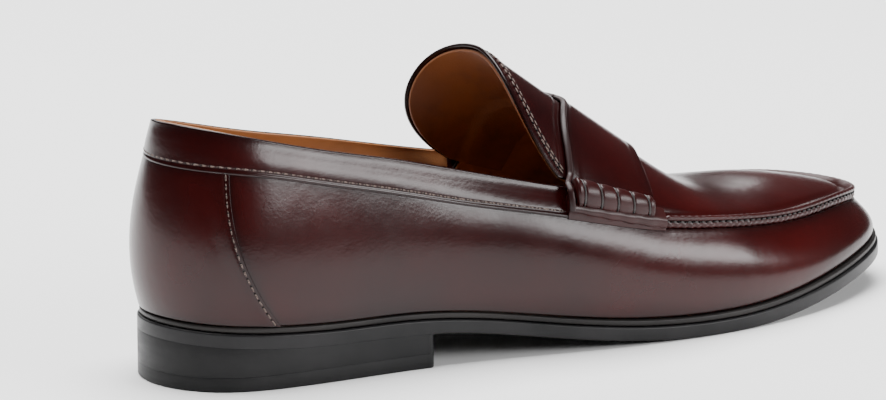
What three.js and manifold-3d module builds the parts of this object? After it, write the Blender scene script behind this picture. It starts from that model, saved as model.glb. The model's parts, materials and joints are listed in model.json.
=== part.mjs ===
// A right-foot penny loafer, in millimetres: toe towards +X, big-toe side towards +Y, standing on z = 0.
// The shape comes from a last: rows of stations run round the shoe from the heel back, along the
// little-toe side, round the toe and back along the big-toe side. Every sheet of leather is a stretch
// of the last's skin between two depths, so the layers nest with the clearance GAP between them.
import * as THREE from "three";
import { mergeVertices } from "three/addons/utils/BufferGeometryUtils.js";
import Module from "manifold-3d";

const wasm = await Module();
wasm.setup();

// Overall sizes
const LENGTH = 305; // heel back to toe tip
const WIDTH = 103; // across the ball
const HEEL_RISE = 16.8; // underside of the outsole above the floor at the back
const TOE_SPRING = 11.2; // underside of the outsole above the floor at the toe
const UPPER_SCALE = 1; // height of the upper above the sole, as a share of the last's own

// Thicknesses
const SOLE = 5;
const TOP_LIFT = 5;
const WELT = 2.2;
const LEATHER = 1.4;
const LINING = 1;
const STIFFENER = 1.4;
const INSOLE_BOARD = 2.2;
const SOCK = 1.2;
const HEEL_PAD = 2;
const SHANK = 1.4;
const THREAD = 0.8; // diameter

// Widths and places
const GAP = 0.3; // clearance between neighbouring pieces
const SOLE_EDGE = 2.2; // outsole beyond the upper, in the forepart
const HEEL_EDGE = 1; // and round the heel
const WELT_WIDTH = 9;
const WELT_SET_IN = 0.8; // welt inside the outsole's edge
const HEEL_LENGTH = 93.5;
const SHANK_WIDTH = 15;
const SHANK_SPAN = [52, 168];
const SEAM_RIB_WIDTH = 2.2;
const SEAM_RIB_HEIGHT = 3.8; // above the leather on either side
const SEAM_RIB_TILT = 28; // degrees that the rib leans out
const SLOT_LENGTH = 15; // the coin slot in the strap, across the foot
const SLOT_HEIGHT = 3.4;
const NAIL_HEAD = 3.6; // diameter
const NAIL_SHANK = 1.8;
const NAIL_LENGTH = 17;
const NAILS = 5;
const ROLL_RADII = [[3.6, 5], [2.7, 3.8]]; // beef roll: half its thickness and height, at its rear and its front
const WHIP_TURNS = 5;

// Motion
const FLEX_AT = 209; // the ball of the foot, from the heel back
const FLEX_RANGE = 30; // degrees that the toe bends up

// The last, for the nominal length and width
const NOMINAL_LENGTH = 305;
const NOMINAL_WIDTH = 103;
const TIP = 11; // station at the toe tip
const AROUND = 22; // stations round the shoe
const LIFT_STEP = 28;
const LIFT_BALL_ROW = 7; // rows before this one belong to the heel, the rest to the toe
const LIFT_ROWS = [1, 0.86, 0.765, 0.73, 0.58, 0.32, 0.1, 0.006, 0.045, 0.305, 0.657, 1];

// [feather u, y, collar seam or moccasin seam u, y, height, lean out at the feather, lean in at the seam]
const STATIONS = [
  [2.3, 0, 4.5, 0, 55.8, 16, 16],
  [11.5, -22.5, 13, -20, 55.7, 16, 16],
  [36, -32, 37, -28.5, 53.5, 14, 14],
  [72, -34, 72, -31.5, 46.5, 12, 14],
  [108, -37, 108, -35.5, 40, 12, 18],
  [145, -44, 144, -42.5, 38, 14, 24],
  [182, -49.5, 180, -45.5, 34, 18, 32],
  [217, -49, 215, -42.5, 29.8, 20, 38],
  [250, -41, 248, -32, 23.6, 20, 42],
  [277, -28, 273.5, -20, 19.6, 22, 42],
  [295, -12.5, 290.5, -7, 15.4, 22, 40],
  [302, 6.5, 296.5, 8, 13.6, 22, 40],
  [297, 24, 290.5, 22, 15.2, 22, 40],
  [277, 38, 273.5, 33, 19, 22, 42],
  [250, 46, 248, 39.5, 23.2, 20, 42],
  [217, 48.5, 215, 43.5, 28.8, 18, 38],
  [182, 45, 180, 42, 34, 14, 32],
  [145, 37, 144, 37, 38.3, 10, 24],
  [108, 31, 108, 32, 40.5, 8, 18],
  [72, 31.5, 72, 30, 46.5, 10, 14],
  [36, 32, 37, 28.5, 53.5, 14, 14],
  [11.5, 22.5, 13, 20, 55.7, 16, 16],
];
// Topline at the stations round the heel, with the big-toe side a little lower: [u, y, height, drop]
const TOPLINE = [
  [6.5, 0, 69.4, 0],
  [14.5, -18, 69.2, 2],
  [38, -26, 65.2, 2.4],
  [72, -28.5, 58.2, 2],
  [108, -32, 51.6, 1.2],
  [145, -38.5, 48, 0.5],
  [180, -43, 45.5, 0],
];
// The top of the foot along the middle, from the toe tip back to the tongue's end:
// [u, y, height, fullness towards the little toe, fullness towards the big toe]
const RIDGE = [
  [293.4, 8, 15.4, 0.5, 0.5],
  [289.5, 8, 19.4, 0.6, 0.6],
  [276, 8, 25, 0.62, 0.62],
  [251, 6, 32.4, 0.66, 0.66],
  [221, 3.5, 38.4, 0.7, 0.7],
  [195.5, 2, 53.4, 0.74, 0.74],
  [168, 1, 71.4, 0.76, 0.8],
  [138, 3, 90.3, 1.2, 1.5],
];

const along = LENGTH / NOMINAL_LENGTH;
const across = WIDTH / NOMINAL_WIDTH;

// A smooth curve through rows of numbers: a cubic B-spline whose control rows are found by relaxation
const RELAXATIONS = 40;
function smooth(rows, closed) {
  const n = rows.length;
  const row = (list, i) => {
    if (closed) return list[((i % n) + n) % n];
    if (i < 0) return list[0].map((x, k) => 2 * x - list[1][k]);
    if (i > n - 1) return list[n - 1].map((x, k) => 2 * x - list[n - 2][k]);
    return list[i];
  };
  let control = rows;
  for (let pass = 0; pass < RELAXATIONS; pass++) {
    const before = (i, k) => row(control, i - 1)[k];
    const after = (i, k) => row(control, i + 1)[k];
    control = rows.map((p, i) => p.map((x, k) => (6 * x - before(i, k) - after(i, k)) / 4));
    if (!closed) [control[0], control[n - 1]] = [rows[0], rows[n - 1]];
  }
  return (t) => {
    const i = Math.floor(t);
    const f = t - i;
    const weights = [(1 - f) ** 3, 3 * f ** 3 - 6 * f ** 2 + 4, -3 * f ** 3 + 3 * f ** 2 + 3 * f + 1, f ** 3];
    const blended = (k) => weights.reduce((sum, w, j) => sum + (w * row(control, i - 1 + j)[k]) / 6, 0);
    return rows[0].map((_, k) => blended(k));
  };
}

const step = (x, from, to) => THREE.MathUtils.smoothstep(x, from, to);
const around = (s) => ((s % AROUND) + AROUND) % AROUND;
const fromHeel = (s) => Math.min(around(s), AROUND - around(s));

const scaledStation = ([u, y, us, ys, h, out, lean]) => [
  u * along,
  y * across,
  us * along,
  ys * across,
  h * UPPER_SCALE,
  out,
  lean,
];
const stations = smooth(STATIONS.map(scaledStation), true);
const mirroredTopline = TOPLINE.slice(1)
  .reverse()
  .map(([u, y, h, drop]) => [u, -y, h - drop]);
const topline = smooth(
  [...mirroredTopline, ...TOPLINE].map(([u, y, h]) => [u * along, y * across, h * UPPER_SCALE]),
  false,
);
const ridge = smooth(
  RIDGE.map(([u, y, h, ...fullness]) => [u * along, y * across, h * UPPER_SCALE, ...fullness]),
  false,
);
const liftRows = smooth(
  LIFT_ROWS.map((x, i) => [x * (i < LIFT_BALL_ROW ? HEEL_RISE : TOE_SPRING)]),
  false,
);

// Underside of the outsole, its top, and the line where the upper meets the welt, above the floor
const soleBottom = (u) => Math.max(0, liftRows(u / (LIFT_STEP * along))[0]);
const soleTop = (u) => SOLE + soleBottom(u);
const feather = (u) => soleTop(u) + WELT + 2 * GAP;
const restsOn = (u, height) => soleTop(u) + height;

const lerp = (a, b, t) => a + (b - a) * t;

// The feather line in plan, moved out by a distance, and its outward direction
const STRIDE = 0.02; // stations to either side, when a direction is taken
function outline(s, out = 0) {
  const [u, y] = stations(around(s));
  const direction = outward(s);
  return new THREE.Vector2(u + direction.x * out, y + direction.y * out);
}
function outward(s) {
  const a = stations(around(s - STRIDE));
  const b = stations(around(s + STRIDE));
  return new THREE.Vector2(b[1] - a[1], a[0] - b[0]).normalize();
}

function bezier(p, q, r, t, v) {
  const w = 1 - v;
  return p
    .clone()
    .multiplyScalar(w ** 3)
    .addScaledVector(q, 3 * v * w * w)
    .addScaledVector(r, 3 * v * v * w)
    .addScaledVector(t, v ** 3);
}

// The wall of the upper: v runs from 0 at the feather line to 1 at the collar or moccasin seam,
// and on to 2 at the topline.
const HANDLE = 0.36; // length of a curve's end tangents, as a share of its chord
const TOP_LEAN = 8; // degrees
function wall(s, v) {
  const [u, y, us, ys, h, out, lean] = stations(around(s));
  const direction = outward(s);
  const towards = (degrees) => {
    const a = THREE.MathUtils.degToRad(degrees);
    return new THREE.Vector3(direction.x * Math.sin(a), direction.y * Math.sin(a), Math.cos(a));
  };
  const seam = new THREE.Vector3(us, ys, restsOn(us, h));
  if (v <= 1) {
    const foot = new THREE.Vector3(u, y, feather(u));
    const reach = foot.distanceTo(seam) * HANDLE;
    return bezier(
      foot,
      foot.clone().addScaledVector(towards(out), reach),
      seam.clone().addScaledVector(towards(-lean), -reach),
      seam,
      v,
    );
  }
  const side = around(s) > AROUND / 2 ? around(s) - AROUND : around(s);
  const last = TOPLINE.length - 1;
  const [ut, yt, ht] = topline(last + THREE.MathUtils.clamp(side, -last, last));
  const top = new THREE.Vector3(ut, yt, restsOn(ut, ht));
  const reach = seam.distanceTo(top) * HANDLE;
  return bezier(
    seam,
    seam.clone().addScaledVector(towards(-lean), reach),
    top.clone().addScaledVector(towards(-TOP_LEAN), -reach),
    top,
    v - 1,
  );
}

// The rib of the moccasin seam stands at the wall's top edge, leaning out. A point beside it is given
// by how far inwards and how far up it lies, in the rib's own directions.
const RIB_START = 0.9; // from the wall's top edge to the rib
const APRON_INSET = RIB_START + SEAM_RIB_WIDTH + 1.5 * GAP;
function beside(s, inwards, up) {
  const [, , us, ys, h] = stations(around(s));
  const direction = outward(s);
  const a = THREE.MathUtils.degToRad(SEAM_RIB_TILT);
  const out = up * Math.sin(a) - inwards * Math.cos(a);
  const rise = up * Math.cos(a) + inwards * Math.sin(a);
  return new THREE.Vector3(us + direction.x * out, ys + direction.y * out, restsOn(us, h) + rise);
}

// The top of the upper: d counts stations back from the toe tip, q runs from 0 at the seam on the
// little-toe side to 1 on the big-toe side.
function instep(d, q) {
  const a = beside(TIP - d, APRON_INSET, 0);
  const b = beside(TIP + d, APRON_INSET, 0);
  const [u, y, h, littleToe, bigToe] = ridge(d);
  const peak = new THREE.Vector3(u, y, restsOn(u, h));
  const middle = peak.multiplyScalar(8).sub(a).sub(b).divideScalar(6);
  const half = Math.abs(b.y - a.y) / 2;
  const left = middle.clone().setY(middle.y - half * littleToe);
  const right = middle.clone().setY(middle.y + half * bigToe);
  return bezier(a, left, right, b, q);
}

// A point of a surface moved inwards by a depth
const NUDGE = 0.004;
function below(surface, sign) {
  return (a, b, depth) => {
    const da = surface(a + NUDGE, b).sub(surface(a - NUDGE, b));
    const db = surface(a, b + NUDGE).sub(surface(a, b - NUDGE));
    const normal = da.cross(db).normalize().multiplyScalar(sign);
    return surface(a, b).addScaledVector(normal, -depth);
  };
}
const inWall = below(wall, 1);
const inInstep = below(instep, -1);

// ---- solids ----

function solid(positions) {
  const geometry = new THREE.BufferGeometry();
  const numbers = positions.flatMap((p) => [p.x, p.y, p.z]);
  geometry.setAttribute("position", new THREE.Float32BufferAttribute(numbers, 3));
  return fromGeometry(geometry);
}
function fromGeometry(geometry) {
  const bare = geometry.index ? geometry.toNonIndexed() : geometry.clone();
  for (const name of Object.keys(bare.attributes)) {
    if (name !== "position") bare.deleteAttribute(name);
  }
  const merged = mergeVertices(bare, 1e-4);
  const index = merged.index.array;
  const triVerts = [];
  for (let i = 0; i < index.length; i += 3) {
    const [a, b, c] = [index[i], index[i + 1], index[i + 2]];
    if (a !== b && b !== c && a !== c) triVerts.push(a, b, c);
  }
  const vertProperties = merged.attributes.position.array;
  const build = (list) =>
    new wasm.Manifold(new wasm.Mesh({ numProp: 3, vertProperties, triVerts: new Uint32Array(list) }));
  const made = build(triVerts);
  if (made.volume() > 0) return made;
  for (let i = 0; i < triVerts.length; i += 3) {
    [triVerts[i + 1], triVerts[i + 2]] = [triVerts[i + 2], triVerts[i + 1]];
  }
  return build(triVerts);
}

// A sheet of a skin between two depths: params gives the skin's two parameters at shares i and j of the sheet
function sheet(skin, params, columns, rows, outer, inner) {
  const grid = (depth) =>
    Array.from({ length: columns + 1 }, (_, i) =>
      Array.from({ length: rows + 1 }, (_, j) => {
        const [a, b] = params(i / columns, j / rows);
        return skin(a, b, depth(a, b));
      }),
    );
  const top = grid(outer);
  const under = grid(inner);
  const faces = [];
  const quad = (a, b, c, d) => faces.push(a, b, c, a, c, d);
  for (let i = 0; i < columns; i++) {
    for (let j = 0; j < rows; j++) {
      quad(top[i][j], top[i + 1][j], top[i + 1][j + 1], top[i][j + 1]);
      quad(under[i][j], under[i][j + 1], under[i + 1][j + 1], under[i + 1][j]);
    }
    quad(top[i][0], under[i][0], under[i + 1][0], top[i + 1][0]);
    quad(top[i][rows], top[i + 1][rows], under[i + 1][rows], under[i][rows]);
  }
  for (let j = 0; j < rows; j++) {
    quad(top[0][j], top[0][j + 1], under[0][j + 1], under[0][j]);
    quad(top[columns][j], under[columns][j], under[columns][j + 1], top[columns][j + 1]);
  }
  return solid(faces);
}
const flat = (depth) => () => depth;

// A bar swept along the seam: its section at a station is a list of [inwards, up] beside the wall's edge
function seamBar(s0, s1, columns, section) {
  const rings = Array.from({ length: columns + 1 }, (_, i) => {
    const s = lerp(s0, s1, i / columns);
    return section(s).map(([inwards, up]) => beside(s, inwards, up));
  });
  const n = rings[0].length;
  const faces = [];
  for (let i = 0; i < columns; i++)
    for (let j = 0; j < n; j++) {
      const k = (j + 1) % n;
      faces.push(rings[i][j], rings[i][k], rings[i + 1][k], rings[i][j], rings[i + 1][k], rings[i + 1][j]);
    }
  for (let j = 1; j < n - 1; j++) {
    faces.push(rings[0][0], rings[0][j + 1], rings[0][j]);
    faces.push(rings[columns][0], rings[columns][j], rings[columns][j + 1]);
  }
  return solid(faces);
}

// A slab that follows the sole: its outline is the feather line moved out, between two heights over the floor
function slab(out, bottom, top, { steps = 44, strips = 2 } = {}) {
  const rows = Array.from({ length: steps + 1 }, (_, i) => {
    const d = (i / steps) * TIP;
    const a = outline(TIP - d, out(TIP - d));
    const b = i % steps ? outline(TIP + d, out(TIP + d)) : a;
    return Array.from({ length: strips + 1 }, (_, j) => new THREE.Vector2().lerpVectors(a, b, j / strips));
  });
  const at = (p, height) => new THREE.Vector3(p.x, p.y, height(p.x));
  const faces = [];
  const quad = (a, b, c, d) => faces.push(a, b, c, a, c, d);
  for (let i = 0; i < steps; i++) {
    const [a, b] = [rows[i], rows[i + 1]];
    for (let j = 0; j < strips; j++) {
      const corners = [a[j], b[j], b[j + 1], a[j + 1]];
      quad(...corners.map((p) => at(p, bottom)));
      quad(...corners.map((p) => at(p, top)).reverse());
    }
    quad(at(a[0], top), at(b[0], top), at(b[0], bottom), at(a[0], bottom));
    quad(at(a[strips], bottom), at(b[strips], bottom), at(b[strips], top), at(a[strips], top));
  }
  return solid(faces);
}

const FAR = 400;
function block(x0, x1, y0, y1, z0, z1) {
  const box = new THREE.BoxGeometry(x1 - x0, y1 - y0, z1 - z0);
  box.translate((x0 + x1) / 2, (y0 + y1) / 2, (z0 + z1) / 2);
  return fromGeometry(box);
}
const between = (x0, x1) => block(x0, x1, -FAR, FAR, -FAR, FAR);

// A round cord through points
const CORD_SIDES = 4;
function cord(points, diameter, steps) {
  const shape = new THREE.Shape();
  shape.absarc(0, 0, diameter / 2, 0, 2 * Math.PI);
  const path = new THREE.CatmullRomCurve3(points);
  const options = { steps, curveSegments: CORD_SIDES / 2, extrudePath: path, bevelEnabled: false };
  return fromGeometry(new THREE.ExtrudeGeometry(shape, options));
}

// ---- the flex at the ball of the foot ----
// The hinge lies at the top of the outsole. Above it the leather folds, so the upper is parted by a
// wedge as wide as the bend, and the wedge is filled by pieces that crease.
const flexAt = FLEX_AT * along;
const flexHeight = soleTop(flexAt);
const WEDGE_HALF = (FLEX_RANGE + 1) / 2;
function lean(solidHalf, degrees) {
  return solidHalf.rotate([0, degrees, 0]).translate([flexAt, 0, flexHeight]);
}
const behindFlex = lean(block(-FAR, -GAP / 2, -FAR, FAR, -FAR, FAR), -WEDGE_HALF);
const aheadOfFlex = lean(block(GAP / 2, FAR, -FAR, FAR, -FAR, FAR), WEDGE_HALF);
const creaseZone = lean(block(GAP / 2, FAR, -FAR, FAR, -FAR, FAR), -WEDGE_HALF).intersect(
  lean(block(-FAR, -GAP / 2, -FAR, FAR, -FAR, FAR), WEDGE_HALF),
);
const soleBehind = between(-FAR, flexAt - GAP / 2);
const soleAhead = between(flexAt + GAP / 2, FAR);

// ---- materials ----
function finish(color, roughness, metalness = 0) {
  return new THREE.MeshStandardMaterial({ color, roughness, metalness });
}
const burgundy = finish(0x3a1216, 0.22);
const tan = finish(0x9a5a24, 0.6);
const black = finish(0x1b1b1d, 0.5);
const thread = finish(0x5a4640, 0.7);
const board = finish(0x8b7355, 0.9);
const steel = finish(0x9a9ca0, 0.35, 1);
const cork = finish(0xa67c4e, 0.95);
const white = finish(0xd8d2c4, 0.9);

const loafer = new THREE.Group();
// The last is laid out from the heel back and the heel's middle; the part stands on the middle of its own plan.
const EDGE_WIDENS = [3.5, 6]; // stations over which the outsole's edge widens
const soleEdge = (s) => lerp(HEEL_EDGE, SOLE_EDGE, step(fromHeel(s), ...EDGE_WIDENS));
const outsole = slab(soleEdge, soleBottom, soleTop);
const soleSize = outsole.boundingBox();
const heelLine = Array.from({ length: 21 }, (_, i) => wall(0, i / 10).x);
const back = Math.min(...heelLine, soleSize.min[0]);
const origin = [-(back + soleSize.max[0]) / 2, -(soleSize.min[1] + soleSize.max[1]) / 2, 0];

function add(name, made, material) {
  const { vertProperties, triVerts, numProp } = made.translate(origin).getMesh();
  const geometry = new THREE.BufferGeometry();
  const positions = Array.from({ length: vertProperties.length / numProp }, (_, i) => [
    ...vertProperties.subarray(i * numProp, i * numProp + 3),
  ]).flat();
  geometry.setAttribute("position", new THREE.Float32BufferAttribute(positions, 3));
  geometry.setIndex([...triVerts]);
  geometry.computeVertexNormals();
  const mesh = new THREE.Mesh(geometry, material);
  mesh.name = name;
  loafer.add(mesh);
}

// ---- heel and sole ----
const layer = (u, ...under) => under.reduce((z, thickness) => z + thickness + GAP, soleTop(u) + GAP);
const inside = (distance) => () => -distance;
const LAYERS = LEATHER + STIFFENER + LINING + 4 * GAP; // the upper's whole thickness at the heel and toe
const BOTTOM_PLAY = 0.7;
const bottomInset = LAYERS + BOTTOM_PLAY; // insole inside the feather line
const underHeel = between(-FAR, HEEL_LENGTH * along);
const coarse = { steps: 33, strips: 2 };

// A nail driven down through the insole and the outsole into the heel
const NAIL_POINT = 2; // length of its point
const NAIL_CAP = 1; // thickness of its head
const NAIL_SIDES = 10;
function nail(clearance) {
  const shank = NAIL_SHANK / 2 + clearance;
  const head = NAIL_HEAD / 2 + clearance;
  const profile = [
    [0, -NAIL_LENGTH - clearance],
    [shank, -NAIL_LENGTH + NAIL_POINT],
    [shank, -NAIL_CAP - clearance],
    [head, -NAIL_CAP - clearance],
    [head, clearance * 4],
    [0, clearance * 4],
  ];
  const lathe = new THREE.LatheGeometry(profile.map(([x, y]) => new THREE.Vector2(x, y)), NAIL_SIDES);
  return fromGeometry(lathe.rotateX(Math.PI / 2));
}
const NAIL_SPREAD = 2.2; // stations to either side of the heel back
const NAIL_INSET = 13; // inside the feather line
const nailPlaces = Array.from({ length: NAILS }, (_, i) => {
  const p = outline(lerp(-NAIL_SPREAD, NAIL_SPREAD, i / (NAILS - 1)), -NAIL_INSET);
  return [p.x, p.y, layer(p.x, WELT, INSOLE_BOARD) - GAP];
});
const drilled = (made) => nailPlaces.reduce((left, place) => left.subtract(nail(GAP).translate(place)), made);

add("top_lift", slab(soleEdge, () => 0, () => TOP_LIFT).intersect(underHeel), black);
const heelTop = (u) => Math.max(soleBottom(u) - GAP, TOP_LIFT + 3 * GAP);
const heelBlock = slab(soleEdge, () => TOP_LIFT + GAP, heelTop).intersect(underHeel);
add("heel_block", drilled(heelBlock), black);
add("outsole_waist", drilled(outsole.intersect(soleBehind)), black);
add("outsole_forepart", outsole.intersect(soleAhead), black);
nailPlaces.forEach((place, i) => add(`heel_nail_${i + 1}`, nail(0).translate(place), steel));

const weltEdge = (s) => soleEdge(s) - WELT_SET_IN;
const weltBottom = (u) => layer(u);
const weltTop = (u) => weltBottom(u) + WELT;
const weltHole = slab((s) => weltEdge(s) - WELT_WIDTH, (u) => weltBottom(u) - 1, (u) => weltTop(u) + 1, coarse);
const welt = slab(weltEdge, weltBottom, weltTop, coarse).subtract(weltHole);
add("welt_waist", welt.intersect(behindFlex), black);
add("welt_forepart", welt.intersect(aheadOfFlex), black);

// The spring steel shank lies inside the welt from the heel seat to behind the ball.
const shankStrip = slab(inside(0), weltBottom, (u) => weltBottom(u) + SHANK, coarse);
const [shankStart, shankEnd] = SHANK_SPAN.map((u) => u * along);
const ballMiddle = (outline(7.4).y + outline(14.6).y) / 2;
const shankMiddle = ballMiddle / 2;
const shankSides = [shankMiddle - SHANK_WIDTH / 2, shankMiddle + SHANK_WIDTH / 2];
const shankBlank = block(shankStart, shankEnd, ...shankSides, -FAR, FAR);
add("shank", shankStrip.intersect(shankBlank), steel);
const corkEdge = (s) => weltEdge(s) - WELT_WIDTH - GAP;
add("cork_filler", slab(corkEdge, weltBottom, weltTop, coarse).intersect(aheadOfFlex), cork);

const insoleBottom = (u) => layer(u, WELT);
const insole = slab(inside(bottomInset), insoleBottom, (u) => insoleBottom(u) + INSOLE_BOARD, coarse);
add("insole_waist", drilled(insole.intersect(behindFlex)), board);
add("insole_forepart", insole.intersect(aheadOfFlex), board);
const padBottom = (u) => layer(u, WELT, INSOLE_BOARD) + GAP;
const PAD_END = 80;
const PAD_INSET = 3; // pad and sock inside the insole's edge
const SOCK_INSET = 1.2;
const pad = slab(inside(bottomInset + PAD_INSET), padBottom, (u) => padBottom(u) + HEEL_PAD, coarse);
add("heel_pad", pad.intersect(between(-FAR, PAD_END * along)), white);
const SLOPE = [4, 24]; // where the sock comes down in front of the pad
const overPad = (u) => (HEEL_PAD + GAP) * (1 - step(u / along - PAD_END, ...SLOPE));
const sockBottom = (u) => padBottom(u) + overPad(u);
const sock = slab(inside(bottomInset + SOCK_INSET), sockBottom, (u) => sockBottom(u) + SOCK, coarse);
add("sock_waist", sock.intersect(behindFlex), tan);
add("sock_forepart", sock.intersect(aheadOfFlex), tan);

// ---- the sides of the upper ----
const S_GAP = GAP / 60; // half the clearance in stations, which are about 30 mm apart
const V_GAP = GAP / 40; // the clearance in shares of the wall's height, about 40 mm
const WALL_ROWS = 5;
const COLLAR_END = 5; // station where the collar band meets the strap
const SIDE_END = 7.34; // station beyond the flex on the little-toe side
const counterSeam = (v) => 1.28 + 0.62 * (1 - v) ** 2.4; // its station at a height on the wall
const mirrored = ([a, b]) => [AROUND - b, AROUND - a];
const leather = [flat(0), flat(LEATHER)];
// Linings lie against the leather, and behind the stiffeners at the heel and the toe.
const HEEL_STIFF = 3.3;
const TOE_STIFF = 8.5;
const STIFF_TOP = 0.84;
function stiffened(s, v) {
  const lengthways = 1 - step(fromHeel(s), HEEL_STIFF + 0.3, HEEL_STIFF + 0.9);
  const heel = lengthways * (1 - step(v, 1.02, 1.25));
  return Math.max(heel, step(fromHeel(s), TOE_STIFF - 0.6, TOE_STIFF));
}
const liningOuter = (s, v) => LEATHER + GAP + (STIFFENER + 2 * GAP) * stiffened(s, v);
const lining = [liningOuter, (s, v) => liningOuter(s, v) + LINING];
const stiffener = [flat(LEATHER + 1.5 * GAP), flat(LEATHER + 1.5 * GAP + STIFFENER)];

const patch = (s0, s1, v0, v1) => (i, j) => [lerp(s0, s1, i), lerp(v0, v1, j)];
function wallPiece(s0, s1, v0, v1, columns, rows, depths) {
  return sheet(inWall, patch(s0, s1, v0, v1), columns, rows, ...depths);
}

const counterParams = (i, j) => {
  const v = lerp(0, 1 - V_GAP, j);
  const end = counterSeam(v) - S_GAP;
  return [lerp(-end, end, i), v];
};
add("back_counter", sheet(inWall, counterParams, 20, WALL_ROWS, ...leather), burgundy);
const lateralParams = (i, v) => [lerp(counterSeam(v) + S_GAP, SIDE_END, i), v];
const medialParams = (i, v) => {
  const [s] = lateralParams(i, v);
  return [AROUND - s, v];
};
const lateralSide = sheet(inWall, lateralParams, 14, WALL_ROWS, ...leather);
const medialSide = sheet(inWall, medialParams, 14, WALL_ROWS, ...leather);
add("side_lateral", lateralSide.intersect(behindFlex), burgundy);
add("side_medial", medialSide.intersect(behindFlex), burgundy);
add("toe_wall", wallPiece(6.5, 15.5, 0, 1, 30, WALL_ROWS, leather).intersect(aheadOfFlex), burgundy);
const creaseSpan = [6.25, 7.5];
for (const [side, span] of [["lateral", creaseSpan], ["medial", mirrored(creaseSpan)]]) {
  add(`side_crease_${side}`, wallPiece(...span, 0, 1, 5, WALL_ROWS, leather).intersect(creaseZone), burgundy);
  const behind = wallPiece(...span, 0.02, 0.97, 5, 4, lining);
  add(`lining_crease_${side}`, behind.intersect(creaseZone), tan);
}
const band = wallPiece(-COLLAR_END, COLLAR_END, 1 + 2 * V_GAP, 2, 30, 2, leather);
add("collar_band", band, burgundy);
add("heel_counter", wallPiece(-HEEL_STIFF, HEEL_STIFF, 0.03, STIFF_TOP, 20, 4, stiffener), board);
add("toe_puff", wallPiece(TOE_STIFF, AROUND - TOE_STIFF, 0.03, 0.92, 20, 4, stiffener), board);
const quarter = [S_GAP, COLLAR_END - S_GAP];
const vamp = [COLLAR_END + S_GAP, SIDE_END];
for (const [side, quarterSpan, vampSpan] of [
  ["lateral", quarter, vamp],
  ["medial", mirrored(quarter), mirrored(vamp)],
]) {
  add(`quarter_lining_${side}`, wallPiece(...quarterSpan, 0.02, 2, 10, 8, lining), tan);
  add(`vamp_lining_${side}`, wallPiece(...vampSpan, 0.02, 0.97, 5, 4, lining).intersect(behindFlex), tan);
}
add("toe_lining", wallPiece(6.5, 15.5, 0.02, 0.95, 18, 4, lining).intersect(aheadOfFlex), tan);

// ---- the top of the upper ----
const STRAP_FRONT = 5.05; // stations back from the toe tip
const STRAP_REAR = 6;
const TONGUE_END = 7;
const bow = (q) => Math.sin(2 * Math.PI * q) ** 2;
const strapFront = (q) => STRAP_FRONT + 0.15 * bow(q);
const strapRear = (q) => STRAP_REAR + 0.2 * bow(q);
// The tongue's end slopes forward on the little-toe side and stays wide on the big-toe side.
function tongueEnd(q) {
  const fromMiddle = Math.abs(2 * q - 1);
  if (q < 0.5) return TONGUE_END - 1.3 * fromMiddle ** 2.6;
  return TONGUE_END + 0.05 * step(fromMiddle, 0, 0.5) - 1.7 * fromMiddle ** 8;
}
const topPatch = (front, rear, [q0, q1]) => (i, j) => {
  const q = lerp(q0, q1, j);
  return [lerp(front(q), rear(q), i), q];
};
function topPiece(front, rear, span, columns, rows, outer, inner) {
  return sheet(inInstep, topPatch(front, rear, span), columns, rows, flat(outer), flat(inner));
}
const TOP_ROWS = 12;
const apronFront = () => 0.2;
const liningDepths = [LEATHER + GAP, LEATHER + GAP + LINING];
const apron = topPiece(apronFront, strapRear, [0, 1], 18, TOP_ROWS, 0, LEATHER);
const apronLining = topPiece(apronFront, strapRear, [0, 1], 18, TOP_ROWS, ...liningDepths);
for (const [name, zone] of [["instep", behindFlex], ["crease", creaseZone], ["toe", aheadOfFlex]]) {
  add(`apron_${name}`, apron.intersect(zone), burgundy);
  add(`apron_lining_${name}`, apronLining.intersect(zone), tan);
}
const tongueRoot = (q) => strapRear(q) + 0.02;
const TONGUE_SPAN = [0.08, 0.94];
add("tongue", topPiece(tongueRoot, tongueEnd, TONGUE_SPAN, 5, 16, 0, LEATHER), burgundy);
const tongueLiningEnd = (q) => tongueEnd(q) - 0.01;
add("tongue_lining", topPiece(tongueRoot, tongueLiningEnd, TONGUE_SPAN, 5, 16, ...liningDepths), tan);
const STRAP_SPAN = [0.1, 0.9];
const SLOT_TILT = 32; // degrees, square to the strap
const SLOT_REACH = 6;
const strap = topPiece(strapFront, strapRear, STRAP_SPAN, 5, 16, -GAP - LEATHER, -GAP);
const strapMiddle = instep((STRAP_FRONT + STRAP_REAR) / 2, 0.5);
const slotHalf = [SLOT_HEIGHT / 2, SLOT_LENGTH / 2];
const slot = block(-slotHalf[0], slotHalf[0], -slotHalf[1], slotHalf[1], -SLOT_REACH, SLOT_REACH);
add("strap", strap.subtract(slot.rotate([0, SLOT_TILT, 0]).translate(strapMiddle.toArray())), burgundy);

// The rib of the moccasin seam, and the beef rolls that bind the strap's two ends into it
const ribEnd = RIB_START + SEAM_RIB_WIDTH;
const RIB_ROOT = -0.9; // how far it goes down between the wall and the apron
const RIB_ROUND = [0.5, 0.9]; // its top corners
const ribShoulder = SEAM_RIB_HEIGHT - RIB_ROUND[1];
const ribSection = () => [
  [RIB_START, RIB_ROOT],
  [RIB_START, ribShoulder],
  [RIB_START + RIB_ROUND[0], SEAM_RIB_HEIGHT],
  [ribEnd - RIB_ROUND[0], SEAM_RIB_HEIGHT],
  [ribEnd, ribShoulder],
  [ribEnd, RIB_ROOT],
];
const ribSpan = [STRAP_REAR + 0.04, 7.5];
for (const [side, span] of [["lateral", ribSpan], ["medial", mirrored(ribSpan)]]) {
  const rib = seamBar(...span, 8, ribSection);
  add(`seam_rib_${side}`, rib.intersect(behindFlex), burgundy);
  add(`seam_rib_crease_${side}`, rib.intersect(creaseZone), burgundy);
}
add("seam_rib_toe", seamBar(6.5, AROUND - 6.5, 30, ribSection).intersect(aheadOfFlex), burgundy);

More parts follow.
